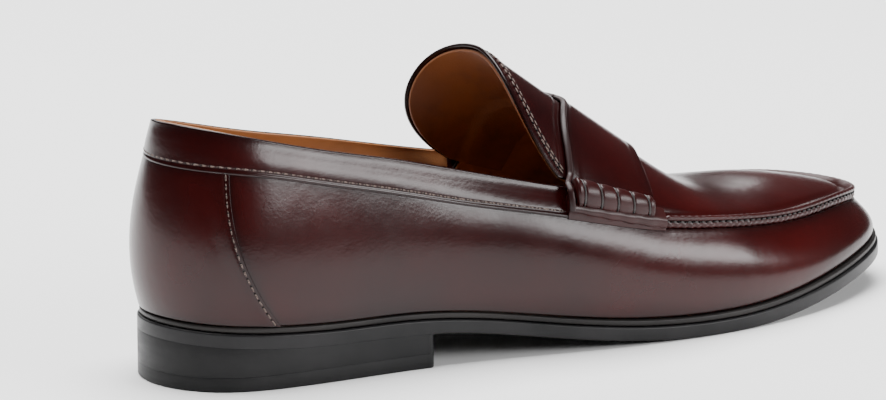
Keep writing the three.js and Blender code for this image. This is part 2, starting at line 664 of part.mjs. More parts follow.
const rollSpan = [COLLAR_END + 0.06, STRAP_REAR - 0.04];
const ROLL_CENTRES = [[4.2, 8.2], [4.2, 5.6]]; // inwards and up from the wall's top edge, rear and front
const ROLL_LEAN = THREE.MathUtils.degToRad(39); // it leans in over the strap
const ROLL_SIDES = 10;
const rollShare = (s) => (fromHeel(s) - rollSpan[0]) / (rollSpan[1] - rollSpan[0]);
const tapered = ([rear, front], t) => rear.map((x, k) => lerp(x, front[k], t));
function rollPoint(s, angle, clear) {
  const [inwards, up] = tapered(ROLL_CENTRES, rollShare(s));
  const [thick, high] = tapered(ROLL_RADII, rollShare(s));
  const across = (thick + clear) * Math.cos(angle);
  const upright = (high + clear) * Math.sin(angle);
  return [
    inwards + across * Math.cos(ROLL_LEAN) + upright * Math.sin(ROLL_LEAN),
    up - across * Math.sin(ROLL_LEAN) + upright * Math.cos(ROLL_LEAN),
  ];
}
const rollSection = (s) =>
  Array.from({ length: ROLL_SIDES }, (_, i) => rollPoint(s, (i / ROLL_SIDES) * 2 * Math.PI, 0));
// The roll stands on a flange that fills the corner between the wall's edge and the apron.
const FLANGE_REAR = [[-0.7, 0.5], [-0.7, 4.4], [2, 6.5], [5, 6.5], [4, 1.5], [3, 0.6]];
const FLANGE_FRONT = [[-0.7, 0.5], [-0.7, 3.4], [2, 4.6], [5, 4.6], [4, 1.5], [3, 0.6]];
const flangeSection = (s) => FLANGE_REAR.map((rear, i) => tapered([rear, FLANGE_FRONT[i]], rollShare(s)));
const WHIP_POINTS = 8; // for each turn
for (const [side, span] of [["lateral", rollSpan], ["medial", mirrored(rollSpan)]]) {
  const clear = 1.4 * GAP + THREAD / 2;
  const turns = WHIP_TURNS * WHIP_POINTS;
  const helix = Array.from({ length: turns + 1 }, (_, i) => {
    const s = lerp(span[0] + 0.04, span[1] - 0.04, i / turns);
    return beside(s, ...rollPoint(s, (i / WHIP_POINTS) * 2 * Math.PI, clear));
  });
  const holes = cord(helix, THREAD + 2 * GAP, turns);
  const roll = seamBar(...span, 6, rollSection).add(seamBar(...span, 6, flangeSection).subtract(holes));
  add(`beef_roll_${side}`, roll, burgundy);
  add(`whip_thread_${side}`, cord(helix, THREAD, turns), thread);
}

// ---- sewing threads on the surface ----
const onTop = -GAP - THREAD / 2;
const COLLAR_STITCH_SPAN = [-4.9, 4.9];
const COLLAR_STITCH_V = 1.09;
const run = (count, place) => Array.from({ length: count + 1 }, (_, i) => place(i / count));
const collarLine = run(44, (t) => inWall(lerp(...COLLAR_STITCH_SPAN, t), COLLAR_STITCH_V, onTop));
add("collar_thread", cord(collarLine, THREAD, 44), thread);
const SEAM_STITCH = 0.06; // stations from the counter seam to its row of stitches
for (const [side, sign] of [["lateral", 1], ["medial", -1]]) {
  const line = run(14, (t) => {
    const v = lerp(0.04, 0.97, t);
    return inWall(sign * (counterSeam(v) - SEAM_STITCH), v, onTop);
  });
  add(`counter_thread_${side}`, cord(line, THREAD, 14), thread);
}
const TONGUE_STITCH_INSET = 0.1; // stations from the tongue's end
const TONGUE_STITCH_SPAN = [0.12, 0.9];
const tongueLine = run(28, (t) => {
  const q = lerp(...TONGUE_STITCH_SPAN, t);
  return inInstep(tongueEnd(q) - TONGUE_STITCH_INSET, q, onTop);
});
add("tongue_thread", cord(tongueLine, THREAD, 28), thread);
const ribLine = run(36, (t) => beside(lerp(7.4, AROUND - 7.4, t), RIB_START - GAP - THREAD / 2, 1.5));
add("seam_rib_thread", cord(ribLine, THREAD, 36), thread);

export default loafer;
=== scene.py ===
import json
import math

import bmesh
import bpy
import numpy as np
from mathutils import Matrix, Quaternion, Vector


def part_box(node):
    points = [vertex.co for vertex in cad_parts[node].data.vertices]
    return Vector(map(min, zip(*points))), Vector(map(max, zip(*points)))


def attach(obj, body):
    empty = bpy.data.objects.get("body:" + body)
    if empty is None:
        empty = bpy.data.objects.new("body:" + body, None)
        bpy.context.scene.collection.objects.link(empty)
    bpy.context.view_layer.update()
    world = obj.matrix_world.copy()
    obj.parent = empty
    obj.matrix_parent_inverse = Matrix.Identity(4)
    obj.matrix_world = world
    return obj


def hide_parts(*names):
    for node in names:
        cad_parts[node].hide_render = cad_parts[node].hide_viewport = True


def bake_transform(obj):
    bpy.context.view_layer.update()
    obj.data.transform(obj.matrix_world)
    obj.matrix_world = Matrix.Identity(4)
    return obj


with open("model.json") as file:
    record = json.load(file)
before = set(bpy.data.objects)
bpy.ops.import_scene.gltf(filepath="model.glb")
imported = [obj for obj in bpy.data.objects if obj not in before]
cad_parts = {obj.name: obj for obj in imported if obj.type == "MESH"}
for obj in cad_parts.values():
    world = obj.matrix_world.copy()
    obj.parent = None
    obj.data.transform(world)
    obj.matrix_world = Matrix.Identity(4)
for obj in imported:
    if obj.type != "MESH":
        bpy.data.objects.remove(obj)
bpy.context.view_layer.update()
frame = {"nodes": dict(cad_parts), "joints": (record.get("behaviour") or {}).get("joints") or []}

# ---- outsole ----
# The outsole is one moulded slab of black rubber, 5 mm thick, that rises at the waist and at the toe.
# Its edge is trimmed and waxed by hand, so it has a small round at the top and at the bottom.
# All lengths below are in millimetres, measured from the back of the heel, until a mesh is made.

AROUND = 22
TIP = 11
SOLE = 5
HEEL_RISE = 16.8
TOE_SPRING = 11.2
LIFT_STEP = 28
LEATHER = 1.4
LINING = 1.0
FOOT = 2.8
BREAST = 93.5

# One row at each station round the shoe, from the back of the heel along the little-toe side to the toe and
# back: the edge at the sole (along, across), the seam above it (along, across, height over the sole), and
# how far the wall leans out at the sole and in at the seam, in degrees.
STATIONS = [
    [2.3, 0, 4.5, 0, 55.8, 16, 16],
    [11.5, -22.5, 13, -20, 55.7, 16, 16],
    [36, -32, 37, -28.5, 53.5, 14, 14],
    [72, -34, 72, -31.5, 46.5, 12, 14],
    [108, -37, 108, -35.5, 40, 12, 18],
    [145, -44, 144, -42.5, 38, 14, 24],
    [182, -49.5, 180, -45.5, 34, 18, 32],
    [217, -49, 215, -42.5, 29.8, 20, 38],
    [250, -41, 248, -32, 23.6, 20, 42],
    [277, -28, 273.5, -20, 19.6, 22, 42],
    [295, -12.5, 290.5, -7, 15.4, 22, 40],
    [302, 6.5, 296.5, 8, 13.6, 22, 40],
    [297, 24, 290.5, 22, 15.2, 22, 40],
    [277, 38, 273.5, 33, 19, 22, 42],
    [250, 46, 248, 39.5, 23.2, 20, 42],
    [217, 48.5, 215, 43.5, 28.8, 18, 38],
    [182, 45, 180, 42, 34, 14, 32],
    [145, 37, 144, 37, 38.3, 10, 24],
    [108, 31, 108, 32, 40.5, 8, 18],
    [72, 31.5, 72, 30, 46.5, 10, 14],
    [36, 32, 37, 28.5, 53.5, 14, 14],
    [11.5, 22.5, 13, 20, 55.7, 16, 16],
]


def smooth(rows, closed):
    """A smooth curve through rows of numbers, as a function of the row's number."""
    rows = np.array(rows, float)
    n = len(rows)

    def framed(c):
        if closed:
            return np.vstack([c[-1:], c, c[:1]])
        return np.vstack([2 * c[:1] - c[1:2], c, 2 * c[-1:] - c[-2:-1]])

    control = rows
    for _ in range(40):
        near = framed(control)
        control = (6 * rows - near[:-2] - near[2:]) / 4
        if not closed:
            control[0], control[-1] = rows[0], rows[-1]
    near = framed(control)

    def at(t):
        t = np.asarray(t, float)
        i = np.floor(t).astype(int)
        f = (t - i)[..., None]
        weights = [(1 - f) ** 3, 3 * f**3 - 6 * f**2 + 4, -3 * f**3 + 3 * f**2 + 3 * f + 1, f**3]
        total = 0
        for j, w in enumerate(weights):
            row = (i - 1 + j) % n + 1 if closed else np.clip(i + j, 0, n + 1)
            total = total + w * near[row] / 6
        return total

    return at


stations = smooth(STATIONS, True)
sole_lift = smooth(
    [[HEEL_RISE * x] for x in (1, 0.86, 0.765, 0.73, 0.58, 0.32, 0.1)]
    + [[TOE_SPRING * x] for x in (0.006, 0.045, 0.305, 0.657, 1)],
    False,
)


def sole_bottom(u):
    return np.maximum(0, sole_lift(np.asarray(u) / LIFT_STEP)[..., 0])


def sole_top(u):
    return sole_bottom(u) + SOLE


def ramp(x, start, end):
    t = np.clip((x - start) / (end - start), 0, 1)
    return t * t * (3 - 2 * t)


def from_heel(s):
    s = np.mod(s, AROUND)
    return np.minimum(s, AROUND - s)


def outward(s):
    a = stations(np.mod(np.asarray(s) - 0.02, AROUND))
    b = stations(np.mod(np.asarray(s) + 0.02, AROUND))
    n = np.stack([b[..., 1] - a[..., 1], a[..., 0] - b[..., 0]], -1)
    return n / np.linalg.norm(n, axis=-1, keepdims=True)


def outline(s, out=0):
    plan = stations(np.mod(s, AROUND))[..., :2]
    return plan + outward(s) * np.broadcast_to(out, np.shape(s))[..., None]


def sole_edge(s):
    return 1 + 1.2 * ramp(from_heel(s), 3.5, 6)


waist_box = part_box("outsole_waist")
forepart_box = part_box("outsole_forepart")
plan = outline(np.linspace(0, AROUND, 2000), sole_edge(np.linspace(0, AROUND, 2000)))
place = np.array(
    [
        forepart_box[1].x - plan[:, 0].max() / 1000,
        max(waist_box[1].y, forepart_box[1].y) - plan[:, 1].max() / 1000,
        0,
    ]
)


def make(name, points, faces, material, sharp=50, rim=None):
    """A mesh from points in millimetres, with its faces turned outwards."""
    mesh = bpy.data.meshes.new(name)
    mesh.from_pydata((np.asarray(points) / 1000 + place).tolist(), [], faces)
    shape = bmesh.new()
    shape.from_mesh(mesh)
    bmesh.ops.recalc_face_normals(shape, faces=shape.faces)
    shape.to_mesh(mesh)
    shape.free()
    mesh.shade_smooth()
    mesh.set_sharp_from_angle(angle=math.radians(sharp))
    mesh.materials.append(material)
    if rim is not None:
        mesh.attributes.new("rim", "FLOAT", "POINT").data.foreach_set("value", rim.astype(np.float32))
    piece = bpy.data.objects.new(name, mesh)
    bpy.context.scene.collection.objects.link(piece)
    return piece


def slab(name, loops, material, capped=True, sharp=50):
    """A slab from loops of points that run round it, from the bottom's middle over the edge to the top's."""
    loops = np.stack(loops, 1)
    n, k = loops.shape[:2]
    faces = []
    spans = range(k - 1) if capped else range(k)
    for i in range(n):
        j = (i + 1) % n
        for a in spans:
            b = (a + 1) % k
            faces.append((i * k + a, j * k + a, j * k + b, i * k + b))
    if capped:
        for a, turn in ((0, 1), (k - 1, -1)):
            for i in range(n // 2):
                corners = [i, i + 1, (n - i - 1) % n, (n - i) % n]
                corners = list(dict.fromkeys(corners))
                faces.append(tuple(c * k + a for c in corners)[::turn])
    return make(name, loops.reshape(-1, 3), faces, material, sharp)


def edge_loops(s, out, bottom, top, radius=0.7, cap=5.0):
    """The loops of a slab with the last's outline, moved out; its edge is round, but square over the heel."""
    turns = [math.radians(a) for a in (0, 25, 50, 75, 90)]
    round_low = 0.08 + 0.92 * ramp(outline(s, out)[:, 0], BREAST - 1, BREAST + 1)
    section = [(cap, 0, 0)]
    section += [(radius * (1 - math.sin(a)), 0, radius * (1 - math.cos(a))) for a in turns]
    section += [(0, 1, -radius * 1.6), (0, 1, -radius * 1.25)]
    section += [(radius * (1 - math.sin(a)), 1, -radius * (1 - math.cos(a))) for a in reversed(turns)]
    section += [(cap, 1, 0)]
    loops = []
    for inset, upper, rise in section:
        p = outline(s, out - (inset if upper or inset == cap else inset * round_low))
        height = (top if upper else bottom)(p[:, 0]) + (rise if upper else rise * round_low)
        loops.append(np.column_stack([p, height]))
    return loops


def adder(tree):
    """A way to add nodes to a tree, with their settings, and their sockets as values or as links."""

    def add(kind, settings=None, **sockets):
        node = tree.nodes.new(kind)
        for key, value in (settings or {}).items():
            setattr(node, key, value)
        for key, value in sockets.items():
            key = key.replace("_", " ")
            socket = node.inputs[int(key[1:])] if key[0] == "i" and key[1:].isdigit() else node.inputs[key]
            if isinstance(value, bpy.types.NodeSocket):
                tree.links.new(value, socket)
            else:
                socket.default_value = value
        return node

    return add


def shader(name):
    """A new material and ways to add nodes to it; its shader is linked to the output."""
    found = bpy.data.materials.new(name)
    found.use_nodes = True
    tree = found.node_tree
    tree.nodes.clear()
    output = tree.nodes.new("ShaderNodeOutputMaterial")
    new = adder(tree)

    def add(kind, settings=None, **sockets):
        node = new("ShaderNode" + kind, settings, **sockets)
        if kind == "BsdfPrincipled":
            tree.links.new(node.outputs[0], output.inputs[0])
        return node

    def colours(factor, *stops):
        node = add("ValToRGB", Fac=factor)
        ramp_of = node.color_ramp
        while len(ramp_of.elements) < len(stops):
            ramp_of.elements.new(0.5)
        for element, (position, colour) in zip(ramp_of.elements, stops):
            element.position = position
            element.color = (*colour, 1)
        return node.outputs[0]

    def noise(scale, detail=3.0, roughness=0.5, stretch=(1, 1, 1)):
        where = add("TexCoord").outputs["Object"]
        moved = add("Mapping", Vector=where, Scale=stretch).outputs[0]
        return add("TexNoise", Vector=moved, Scale=scale, Detail=detail, Roughness=roughness).outputs[0]

    def bump(height, strength, distance, normal=None):
        sockets = {"Height": height, "Strength": strength, "Distance": distance}
        if normal is not None:
            sockets["Normal"] = normal
        return add("Bump", **sockets).outputs[0]

    def math_of(operation, a, b):
        return add("Math", {"operation": operation}, i0=a, i1=b).outputs[0]

    return found, add, colours, noise, bump, math_of


def rubber(name, dark, light, rough, streaks=(1, 1, 1), grain=2600):
    """Black sole material: satin, with fine scuffs along it and a slightly greyer bloom."""
    found, add, colours, noise, bump, math_of = shader(name)
    cloud = noise(38, 4, 0.6, streaks)
    colour = colours(cloud, (0.3, dark), (0.72, light))
    fine = noise(grain, 2, 0.6, streaks)
    worn = noise(420, 3, 0.6, (0.25, 0.25, 1))
    roughness = math_of("MULTIPLY_ADD", worn, 0.22)
    roughness.node.inputs[2].default_value = rough - 0.11
    normal = bump(worn, 0.12, 0.0004, bump(fine, 0.25, 0.00012))
    add("BsdfPrincipled", Base_Color=colour, Roughness=roughness, Normal=normal, Specular_IOR_Level=0.22)
    return found


def fixed(piece, finish, nodes, *bodies, **zone):
    """Hides the nodes a piece stands for and puts it on its body; given a bend zone, it only bakes the
    piece's transform and records no bend. The finish is not used.
    """
    if nodes:
        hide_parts(*nodes)
    if zone:
        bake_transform(piece)
    else:
        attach(piece, *bodies)
    return piece


FLEX = {"start": (0.031, 0, 0), "end": (0.091, 0, 0)}


def bends(piece, finish, *nodes):
    """A piece that lies over the ball of the foot, between the rear and the forefoot; its transform is baked
    and no bend is recorded.
    """
    return fixed(piece, finish, nodes, "rear", "forefoot", **FLEX)


sole_rubber = rubber("sole_rubber", (0.006, 0.006, 0.0065), (0.016, 0.015, 0.016), 0.36)
ring = np.linspace(0, AROUND, 881)[:-1] + TIP
outsole = slab("outsole", edge_loops(ring, sole_edge(ring), sole_bottom, sole_top, 0.75), sole_rubber)
bends(outsole, "sole_edge", "outsole_waist", "outsole_forepart")

# ---- heel: block and top lift ----
# The heel is a block of black rubber under the outsole's seat with a harder top lift below it, both
# nailed from inside. Its front face is square to the shoe, and its sides are buffed flush with the sole.


def heel_loop(out, corner=2.2):
    """The heel's plan: the last's outline back of the breast line, with the corners rounded."""
    s = np.linspace(0, 5, 900)
    side = outline(s, out)
    keep = side[:, 0] < BREAST
    lateral = side[keep]
    s_end = s[keep][-1]
    medial = outline(-s[keep], out)
    row_l = np.vstack([lateral, [[BREAST, outline(s_end, out)[1]]]])
    row_m = np.vstack([medial, [[BREAST, outline(-s_end, out)[1]]]])
    rows = []
    for row in (row_l, row_m):
        sign = np.sign(row[-1, 1])
        turn = np.linspace(0, math.pi / 2, 9)
        back = row[row[:, 0] < BREAST - corner]
        y = row[-1, 1]
        bend = np.column_stack(
            [BREAST - corner + corner * np.sin(turn), y - sign * corner * (1 - np.cos(turn))]
        )
        across = np.column_stack([np.full(12, BREAST), np.linspace(bend[-1, 1], 0, 13)[1:]])
        path = np.vstack([back, bend, across])
        walked = np.r_[0, np.cumsum(np.linalg.norm(np.diff(path, axis=0), axis=1))]
        even = np.linspace(0, walked[-1], 161)
        rows.append(np.column_stack([np.interp(even, walked, path[:, k]) for k in (0, 1)]))
    return np.vstack([rows[0], rows[1][-2:0:-1]])


def loop_inset(loop, distance):
    ahead = np.roll(loop, -1, 0) - np.roll(loop, 1, 0)
    normal = np.column_stack([-ahead[:, 1], ahead[:, 0]])
    normal /= np.linalg.norm(normal, axis=1, keepdims=True)
    return loop + normal * distance


def heel_slab(name, node, bottom, top, low_radius):
    """A slab with the heel's plan, rounded at its lower edge and square at its upper edge."""
    loop = heel_loop(1.0)
    turns = [math.radians(a) for a in (0, 30, 60, 90)]
    section = [(6.0, 0, 0.0)]
    section += [(low_radius * (1 - math.sin(a)), 0, low_radius * (1 - math.cos(a))) for a in turns]
    section += [(0.06 * (1 - math.sin(a)), 1, -0.06 * (1 - math.cos(a))) for a in reversed(turns)]
    section += [(6.0, 1, 0.0)]
    loops = []
    for inset, share, rise in section:
        p = loop_inset(loop, inset)
        low = bottom(p[:, 0])
        high = top(p[:, 0])
        loops.append(np.column_stack([p, low + (high - low) * share + rise]))
    return fixed(slab(name, loops, heel_rubber), "heel_rubber", (node,), "rear")


heel_rubber = rubber("heel_rubber", (0.005, 0.005, 0.0055), (0.013, 0.0125, 0.013), 0.42, (1, 1, 1), 1800)
LIFT_TOP = 5.05
heel_slab("top_lift_tread", "top_lift", lambda u: 0 * u, lambda u: 0 * u + LIFT_TOP, 0.5)
heel_slab(
    "heel_stack",
    "heel_block",
    lambda u: 0 * u + LIFT_TOP + 0.03,
    lambda u: np.maximum(sole_bottom(u) - 0.02, 5.9),
    0.06,
)

# ---- welt ----
# The welt is a strip of black leather that runs right round between the outsole and the upper. It is
# skived at its inner edge, glued, and its outer edge is trimmed with the sole and dyed.

black_leather = rubber("welt_leather", (0.007, 0.006, 0.006), (0.02, 0.017, 0.016), 0.4, (0.4, 0.4, 3), 3200)
welt_section = [(0.25, 0.35), (0.0, 0.6), (0.0, 1.75), (0.12, 2.1), (0.5, 2.38), (1.2, 2.5), (8.5, 2.5)]
welt_section += [(8.9, 2.2), (8.9, 0.5), (8.5, 0.3), (0.6, 0.3)]
welt_loops = []
for inset, rise in welt_section:
    p = outline(ring, sole_edge(ring) - 0.8 - inset)
    welt_loops.append(np.column_stack([p, sole_top(p[:, 0]) + rise]))
welt = slab("welt", welt_loops, black_leather, capped=False, sharp=70)
bends(welt, "sole_edge", "welt_waist", "welt_forepart")

# ---- insole and sock ----
# The insole is a sheet of brown board inside the upper, and the sock is the tan leather lining glued
# on top of it and over the foam heel pad.

insole_board = rubber("insole_board", (0.16, 0.1, 0.055), (0.26, 0.17, 0.09), 0.8, (1, 1, 1), 900)
inner_edge = -5.7
insole = slab(
    "insole",
    edge_loops(ring, inner_edge, lambda u: sole_top(u) + FOOT, lambda u: sole_top(u) + 5, 0.3, 8),
    insole_board,
)
bends(insole, "board", "insole_waist", "insole_forepart")


def tan_leather(name, light, dark, rough=0.52):
    """Smooth pigskin lining leather: tan with darker clouds, fine pores and a dull sheen."""
    found, add, colours, noise, bump, math_of = shader(name)
    cloud = noise(22, 5, 0.62)
    colour = colours(cloud, (0.28, dark), (0.5, light), (0.78, tuple(c * 1.25 for c in light)))
    pores = add("TexVoronoi", Vector=add("TexCoord").outputs["Object"], Scale=1500.0).outputs["Distance"]
    fine = noise(2400, 3, 0.6)
    normal = bump(pores, 0.18, 0.0002, bump(fine, 0.3, 0.00015))
    roughness = math_of("MULTIPLY_ADD", cloud, 0.25)
    roughness.node.inputs[2].default_value = rough - 0.12
    add("BsdfPrincipled", Base_Color=colour, Roughness=roughness, Normal=normal, Sheen_Weight=0.15)
    return found


lining_leather = tan_leather("lining_leather", (0.30, 0.105, 0.02), (0.17, 0.055, 0.012))


def sock_bottom(u):
    return sole_top(u) + 5.6 + 2.3 * (1 - ramp(u, 84, 104))


sock_edge = inner_edge - 1.2
sock_loops = edge_loops(ring, sock_edge, sock_bottom, lambda u: sock_bottom(u) + 1.2, 0.4, 4)
sock = slab("sock", sock_loops, lining_leather)
bends(sock, "lining_leather", "sock_waist", "sock_forepart")

# ---- side wall and back counter ----
# The side wall is one piece of polished oxblood calf, cut from the counter seam on one side round the toe
# to the counter seam on the other. The back counter laps over its two ends and is sewn down.
# Along the toe seam the wall is gathered, so its top edge rises in small pleats between the stitches.

# The topline on the little-toe side: along, across, height over the sole, and how much lower the big-toe
# side is.
TOPLINE = [
    [6.5, 0, 69.4, 0],
    [14.5, -18, 69.2, 2],
    [38, -26, 65.2, 2.4],
    [72, -28.5, 58.2, 2],
    [108, -32, 51.6, 1.2],
    [145, -38.5, 48, 0.5],
    [180, -43, 45.5, 0],
]
lateral_top = [[u, y, h] for u, y, h, drop in TOPLINE]
medial_top = [[u, -y, h - drop] for u, y, h, drop in reversed(TOPLINE[1:])]
topline = smooth(medial_top + lateral_top, False)
TOP_BACK = len(TOPLINE) - 1


def bezier(points, t):
    w = 1 - t
    a, b, c, d = points
    return a * w**3 + b * 3 * t * w * w + c * 3 * t * t * w + d * t**3


def tilted(direction, degrees):
    a = np.radians(degrees)
    return np.stack([direction[..., 0] * np.sin(a), direction[..., 1] * np.sin(a), np.cos(a) + 0 * a], -1)


def span_curve(low, high, low_way, high_way, t):
    reach = 0.36 * np.linalg.norm(high - low, axis=-1, keepdims=True)
    return bezier((low, low + low_way * reach, high - high_way * reach, high), t[..., None])


def seam_point(s):
    row = stations(np.mod(s, AROUND))
    return np.stack([row[..., 2], row[..., 3], sole_top(row[..., 2]) + row[..., 4]], -1)


def wall(s, v):
    """A point of the upper's wall: v is 0 at the welt, 1 at the collar or toe seam and 2 at the topline."""
    row = stations(np.mod(s, AROUND))
    direction = outward(s)
    seam = seam_point(s)
    foot = np.stack([row[..., 0], row[..., 1], sole_top(row[..., 0]) + FOOT], -1)
    leaning = tilted(direction, -row[..., 6])
    lower = span_curve(foot, seam, tilted(direction, row[..., 5]), leaning, np.clip(v, -0.1, 1))
    side = np.mod(s, AROUND)
    side = np.where(side > AROUND / 2, side - AROUND, side)
    top = topline(TOP_BACK + np.clip(side, -TOP_BACK, TOP_BACK))
    top = np.stack([top[..., 0], top[..., 1], sole_top(top[..., 0]) + top[..., 2]], -1)
    upper = span_curve(seam, top, leaning, tilted(direction, -8 + 0 * row[..., 6]), np.clip(v - 1, 0, 1.1))
    return np.where((v <= 1)[..., None], lower, upper)


def deepened(surface, sign):
    def skin(a, b, depth):
        da = surface(a + 0.004, b) - surface(a - 0.004, b)
        db = surface(a, b + 0.004) - surface(a, b - 0.004)
        normal = np.cross(da, db)
        normal *= sign / np.linalg.norm(normal, axis=-1, keepdims=True)
        return surface(a, b) - normal * np.asarray(depth)[..., None]

    return skin


in_wall = deepened(wall, 1)


def ticks(count, length, radius):
    """Even steps from 0 to 1, with finer ones near both ends where an edge is rounded."""
    fine = np.array([0, 0.06, 0.16, 0.32, 0.55, 0.8, 1.0, 1.5]) * radius / length
    inner = np.linspace(2.4 * radius / length, 1 - 2.4 * radius / length, count)
    return np.unique(np.concatenate([fine, inner, 1 - fine]))


def leaf(name, skin, params, columns, rows, outer, inner, material, radius=0.55, puff=None, soft_rim=2.5):
    """A sheet between two depths of a skin, with its four edges rounded; puff lifts the outer face."""
    probe = skin(*params(np.linspace(0, 1, 60)[:, None], np.linspace(0, 1, 30)[None, :]), np.zeros((60, 30)))
    long_way = np.linalg.norm(np.diff(probe, axis=0), axis=2).sum(0).mean()
    short_way = np.linalg.norm(np.diff(probe, axis=1), axis=2).sum(1).mean()
    i = ticks(columns, long_way, radius)
    j = ticks(rows, short_way, radius)
    a, b = params(i[:, None], j[None, :])
    a, b = np.broadcast_arrays(a, b)
    flat = skin(a, b, np.full(a.shape, outer))
    walked_i = np.zeros(a.shape)
    walked_i[1:] = np.cumsum(np.linalg.norm(np.diff(flat, axis=0), axis=2), 0)
    walked_j = np.zeros(a.shape)
    walked_j[:, 1:] = np.cumsum(np.linalg.norm(np.diff(flat, axis=1), axis=2), 1)
    from_i = np.minimum(walked_i, walked_i[-1:] - walked_i)
    from_j = np.minimum(walked_j, walked_j[:, -1:] - walked_j)
    short_i = np.clip(radius - from_i, 0, radius)
    short_j = np.clip(radius - from_j, 0, radius)
    over = np.minimum(np.hypot(short_i, short_j), radius)
    sunk = radius - np.sqrt(radius**2 - over**2)
    lift = puff(a, b, from_i, from_j) if puff else 0
    top = skin(a, b, outer + sunk - lift)
    under = skin(a, b, inner - sunk * 0.9)
    n, m = a.shape
    index = np.arange(n * m).reshape(n, m)
    low = index + n * m
    quads = [np.stack([index[:-1, :-1], index[1:, :-1], index[1:, 1:], index[:-1, 1:]], -1).reshape(-1, 4)]
    quads += [np.stack([low[:-1, :-1], low[:-1, 1:], low[1:, 1:], low[1:, :-1]], -1).reshape(-1, 4)]
    rim_index = np.concatenate([index[:, 0], index[-1, 1:], index[-2::-1, -1], index[0, -2:0:-1]])
    after = np.roll(rim_index, -1)
    quads += [np.stack([rim_index, rim_index + n * m, after + n * m, after], -1)]
    edge = np.exp(-np.minimum(from_i, from_j) / soft_rim)
    return make(
        name,
        np.concatenate([top.reshape(-1, 3), under.reshape(-1, 3)]),
        np.concatenate(quads).tolist(),
        material,
        sharp=60,
        rim=np.concatenate([edge.ravel(), edge.ravel()]),
    )


def calf(name, deep, mid, bright, rough=0.23, coat=0.06):
    """Polished oxblood calf: dark at its edges where polish gathers, redder where it's rubbed, fine pores."""
    found, add, colours, noise, bump, math_of = shader(name)
    cloud = noise(16, 4, 0.55)
    colour = colours(cloud, (0.25, deep), (0.52, mid), (0.8, bright))
    rim = add("Attribute", {"attribute_type": "GEOMETRY", "attribute_name": "rim"}).outputs["Fac"]
    edge = math_of("MULTIPLY", rim, 0.75)
    dark = tuple(c * 0.35 for c in deep)
    burnished = add("Mix", {"data_type": "RGBA"}, i0=edge, i6=colour, i7=(*dark, 1)).outputs[2]
    fine = noise(2200, 3, 0.55)
    pores = add("TexVoronoi", Vector=add("TexCoord").outputs["Object"], Scale=900.0).outputs["Distance"]
    soft = noise(70, 3, 0.5)
    normal = bump(soft, 0.16, 0.0012, bump(pores, 0.05, 0.0003, bump(fine, 0.10, 0.00012)))
    wiped = noise(60, 4, 0.6)
    roughness = math_of("MULTIPLY_ADD", wiped, 0.14)
    roughness.node.inputs[2].default_value = rough - 0.07
    add(
        "BsdfPrincipled",
        Base_Color=burnished,
        Roughness=roughness,
        Normal=normal,
        Coat_Weight=coat,
        Coat_Roughness=0.16,
        Specular_IOR_Level=0.3,
    )
    return found


oxblood = calf("oxblood_calf", (0.009, 0.0008, 0.001), (0.022, 0.001, 0.001), (0.042, 0.0018, 0.0016))


def counter_seam(v):
    return 1.28 + 0.62 * (1 - v) ** 2.4


seam_s = np.linspace(5.0, 17.0, 2401)
seam_walk = np.r_[0, np.cumsum(np.linalg.norm(np.diff(seam_point(seam_s), axis=0), axis=1))]
PITCH = 3.1


def gathers(s):
    """1 midway between two toe-seam stitches and 0 at a stitch."""
    return 0.5 - 0.5 * np.cos(2 * np.pi * np.interp(np.mod(s, AROUND), seam_s, seam_walk) / PITCH)


def side_params(i, v):
    start = counter_seam(v) + 0.005
    return start + (AROUND - 2 * start) * i, v + 0 * i


def side_puff(s, v, from_i, from_j):
    round_toe = ramp(from_heel(s), 5.95, 6.15)
    pleat = 0.05 * gathers(s) * ramp(v, 0.86, 0.985) * round_toe
    swell = 0.1 * ramp(v, 0.9, 0.97) * round_toe
    return pleat + swell


side_wall = leaf("side_wall", in_wall, side_params, 900, 34, 0.0, LEATHER, oxblood, 0.5, side_puff)
wall_nodes = ("side_lateral", "side_medial", "side_crease_lateral", "side_crease_medial", "toe_wall")
bends(side_wall, "upper_leather", *wall_nodes)


def counter_params(i, j):
    v = j * 0.9925
    end = counter_seam(v) - 0.005 + 0.03
    return -end + 2 * end * i, v + 0 * i


def counter_puff(s, v, from_i, from_j):
    lap = 0.55 * (1 - ramp(from_i, 1.5, 9.0))
    return 0.35 + lap - 0.22 * np.exp(-(((from_i - 1.8) / 0.5) ** 2))


back_counter = leaf("heel_back", in_wall, counter_params, 170, 44, 0.0, 0.3, oxblood, 0.35, counter_puff)
fixed(back_counter, "upper_leather", ("back_counter",), "rear")

# ---- collar band ----
# The collar band is a folded strip of the same calf, lightly padded, sewn on over the wall and the counter
# along its lower edge. Its top edge is turned in and meets the lining.


BAND_LOW = 0.985
BAND_SPAN = 1.015


def band_params(i, j):
    return -5.04 + 10.08 * i, BAND_LOW + BAND_SPAN * j + 0 * i


def band_puff(s, v, from_i, from_j):
    up = (v - BAND_LOW) / BAND_SPAN
    lap = 0.55 * (1 - ramp(up, 0.1, 0.6))
    plump = 0.6 * np.sin(np.pi * np.clip(up, 0, 1)) ** 2
    return lap + plump - 0.2 * np.exp(-(((from_j - 1.7) / 0.5) ** 2)) * (up < 0.5)


collar = leaf("collar_padding", in_wall, band_params, 420, 64, 0.0, 1.3, oxblood, 0.6, band_puff)
fixed(collar, "upper_leather", ("collar_band",), "rear")

# ---- apron, strap and tongue ----
# The apron is the plug of calf on top of the forefoot, sewn into the raised toe seam. The strap lies over
# its back edge and has the slot for a coin. The tongue goes on behind the strap up the instep, lined with
# tan leather, and it tips forward when the foot goes in.


SEAM_TILT = math.radians(28)


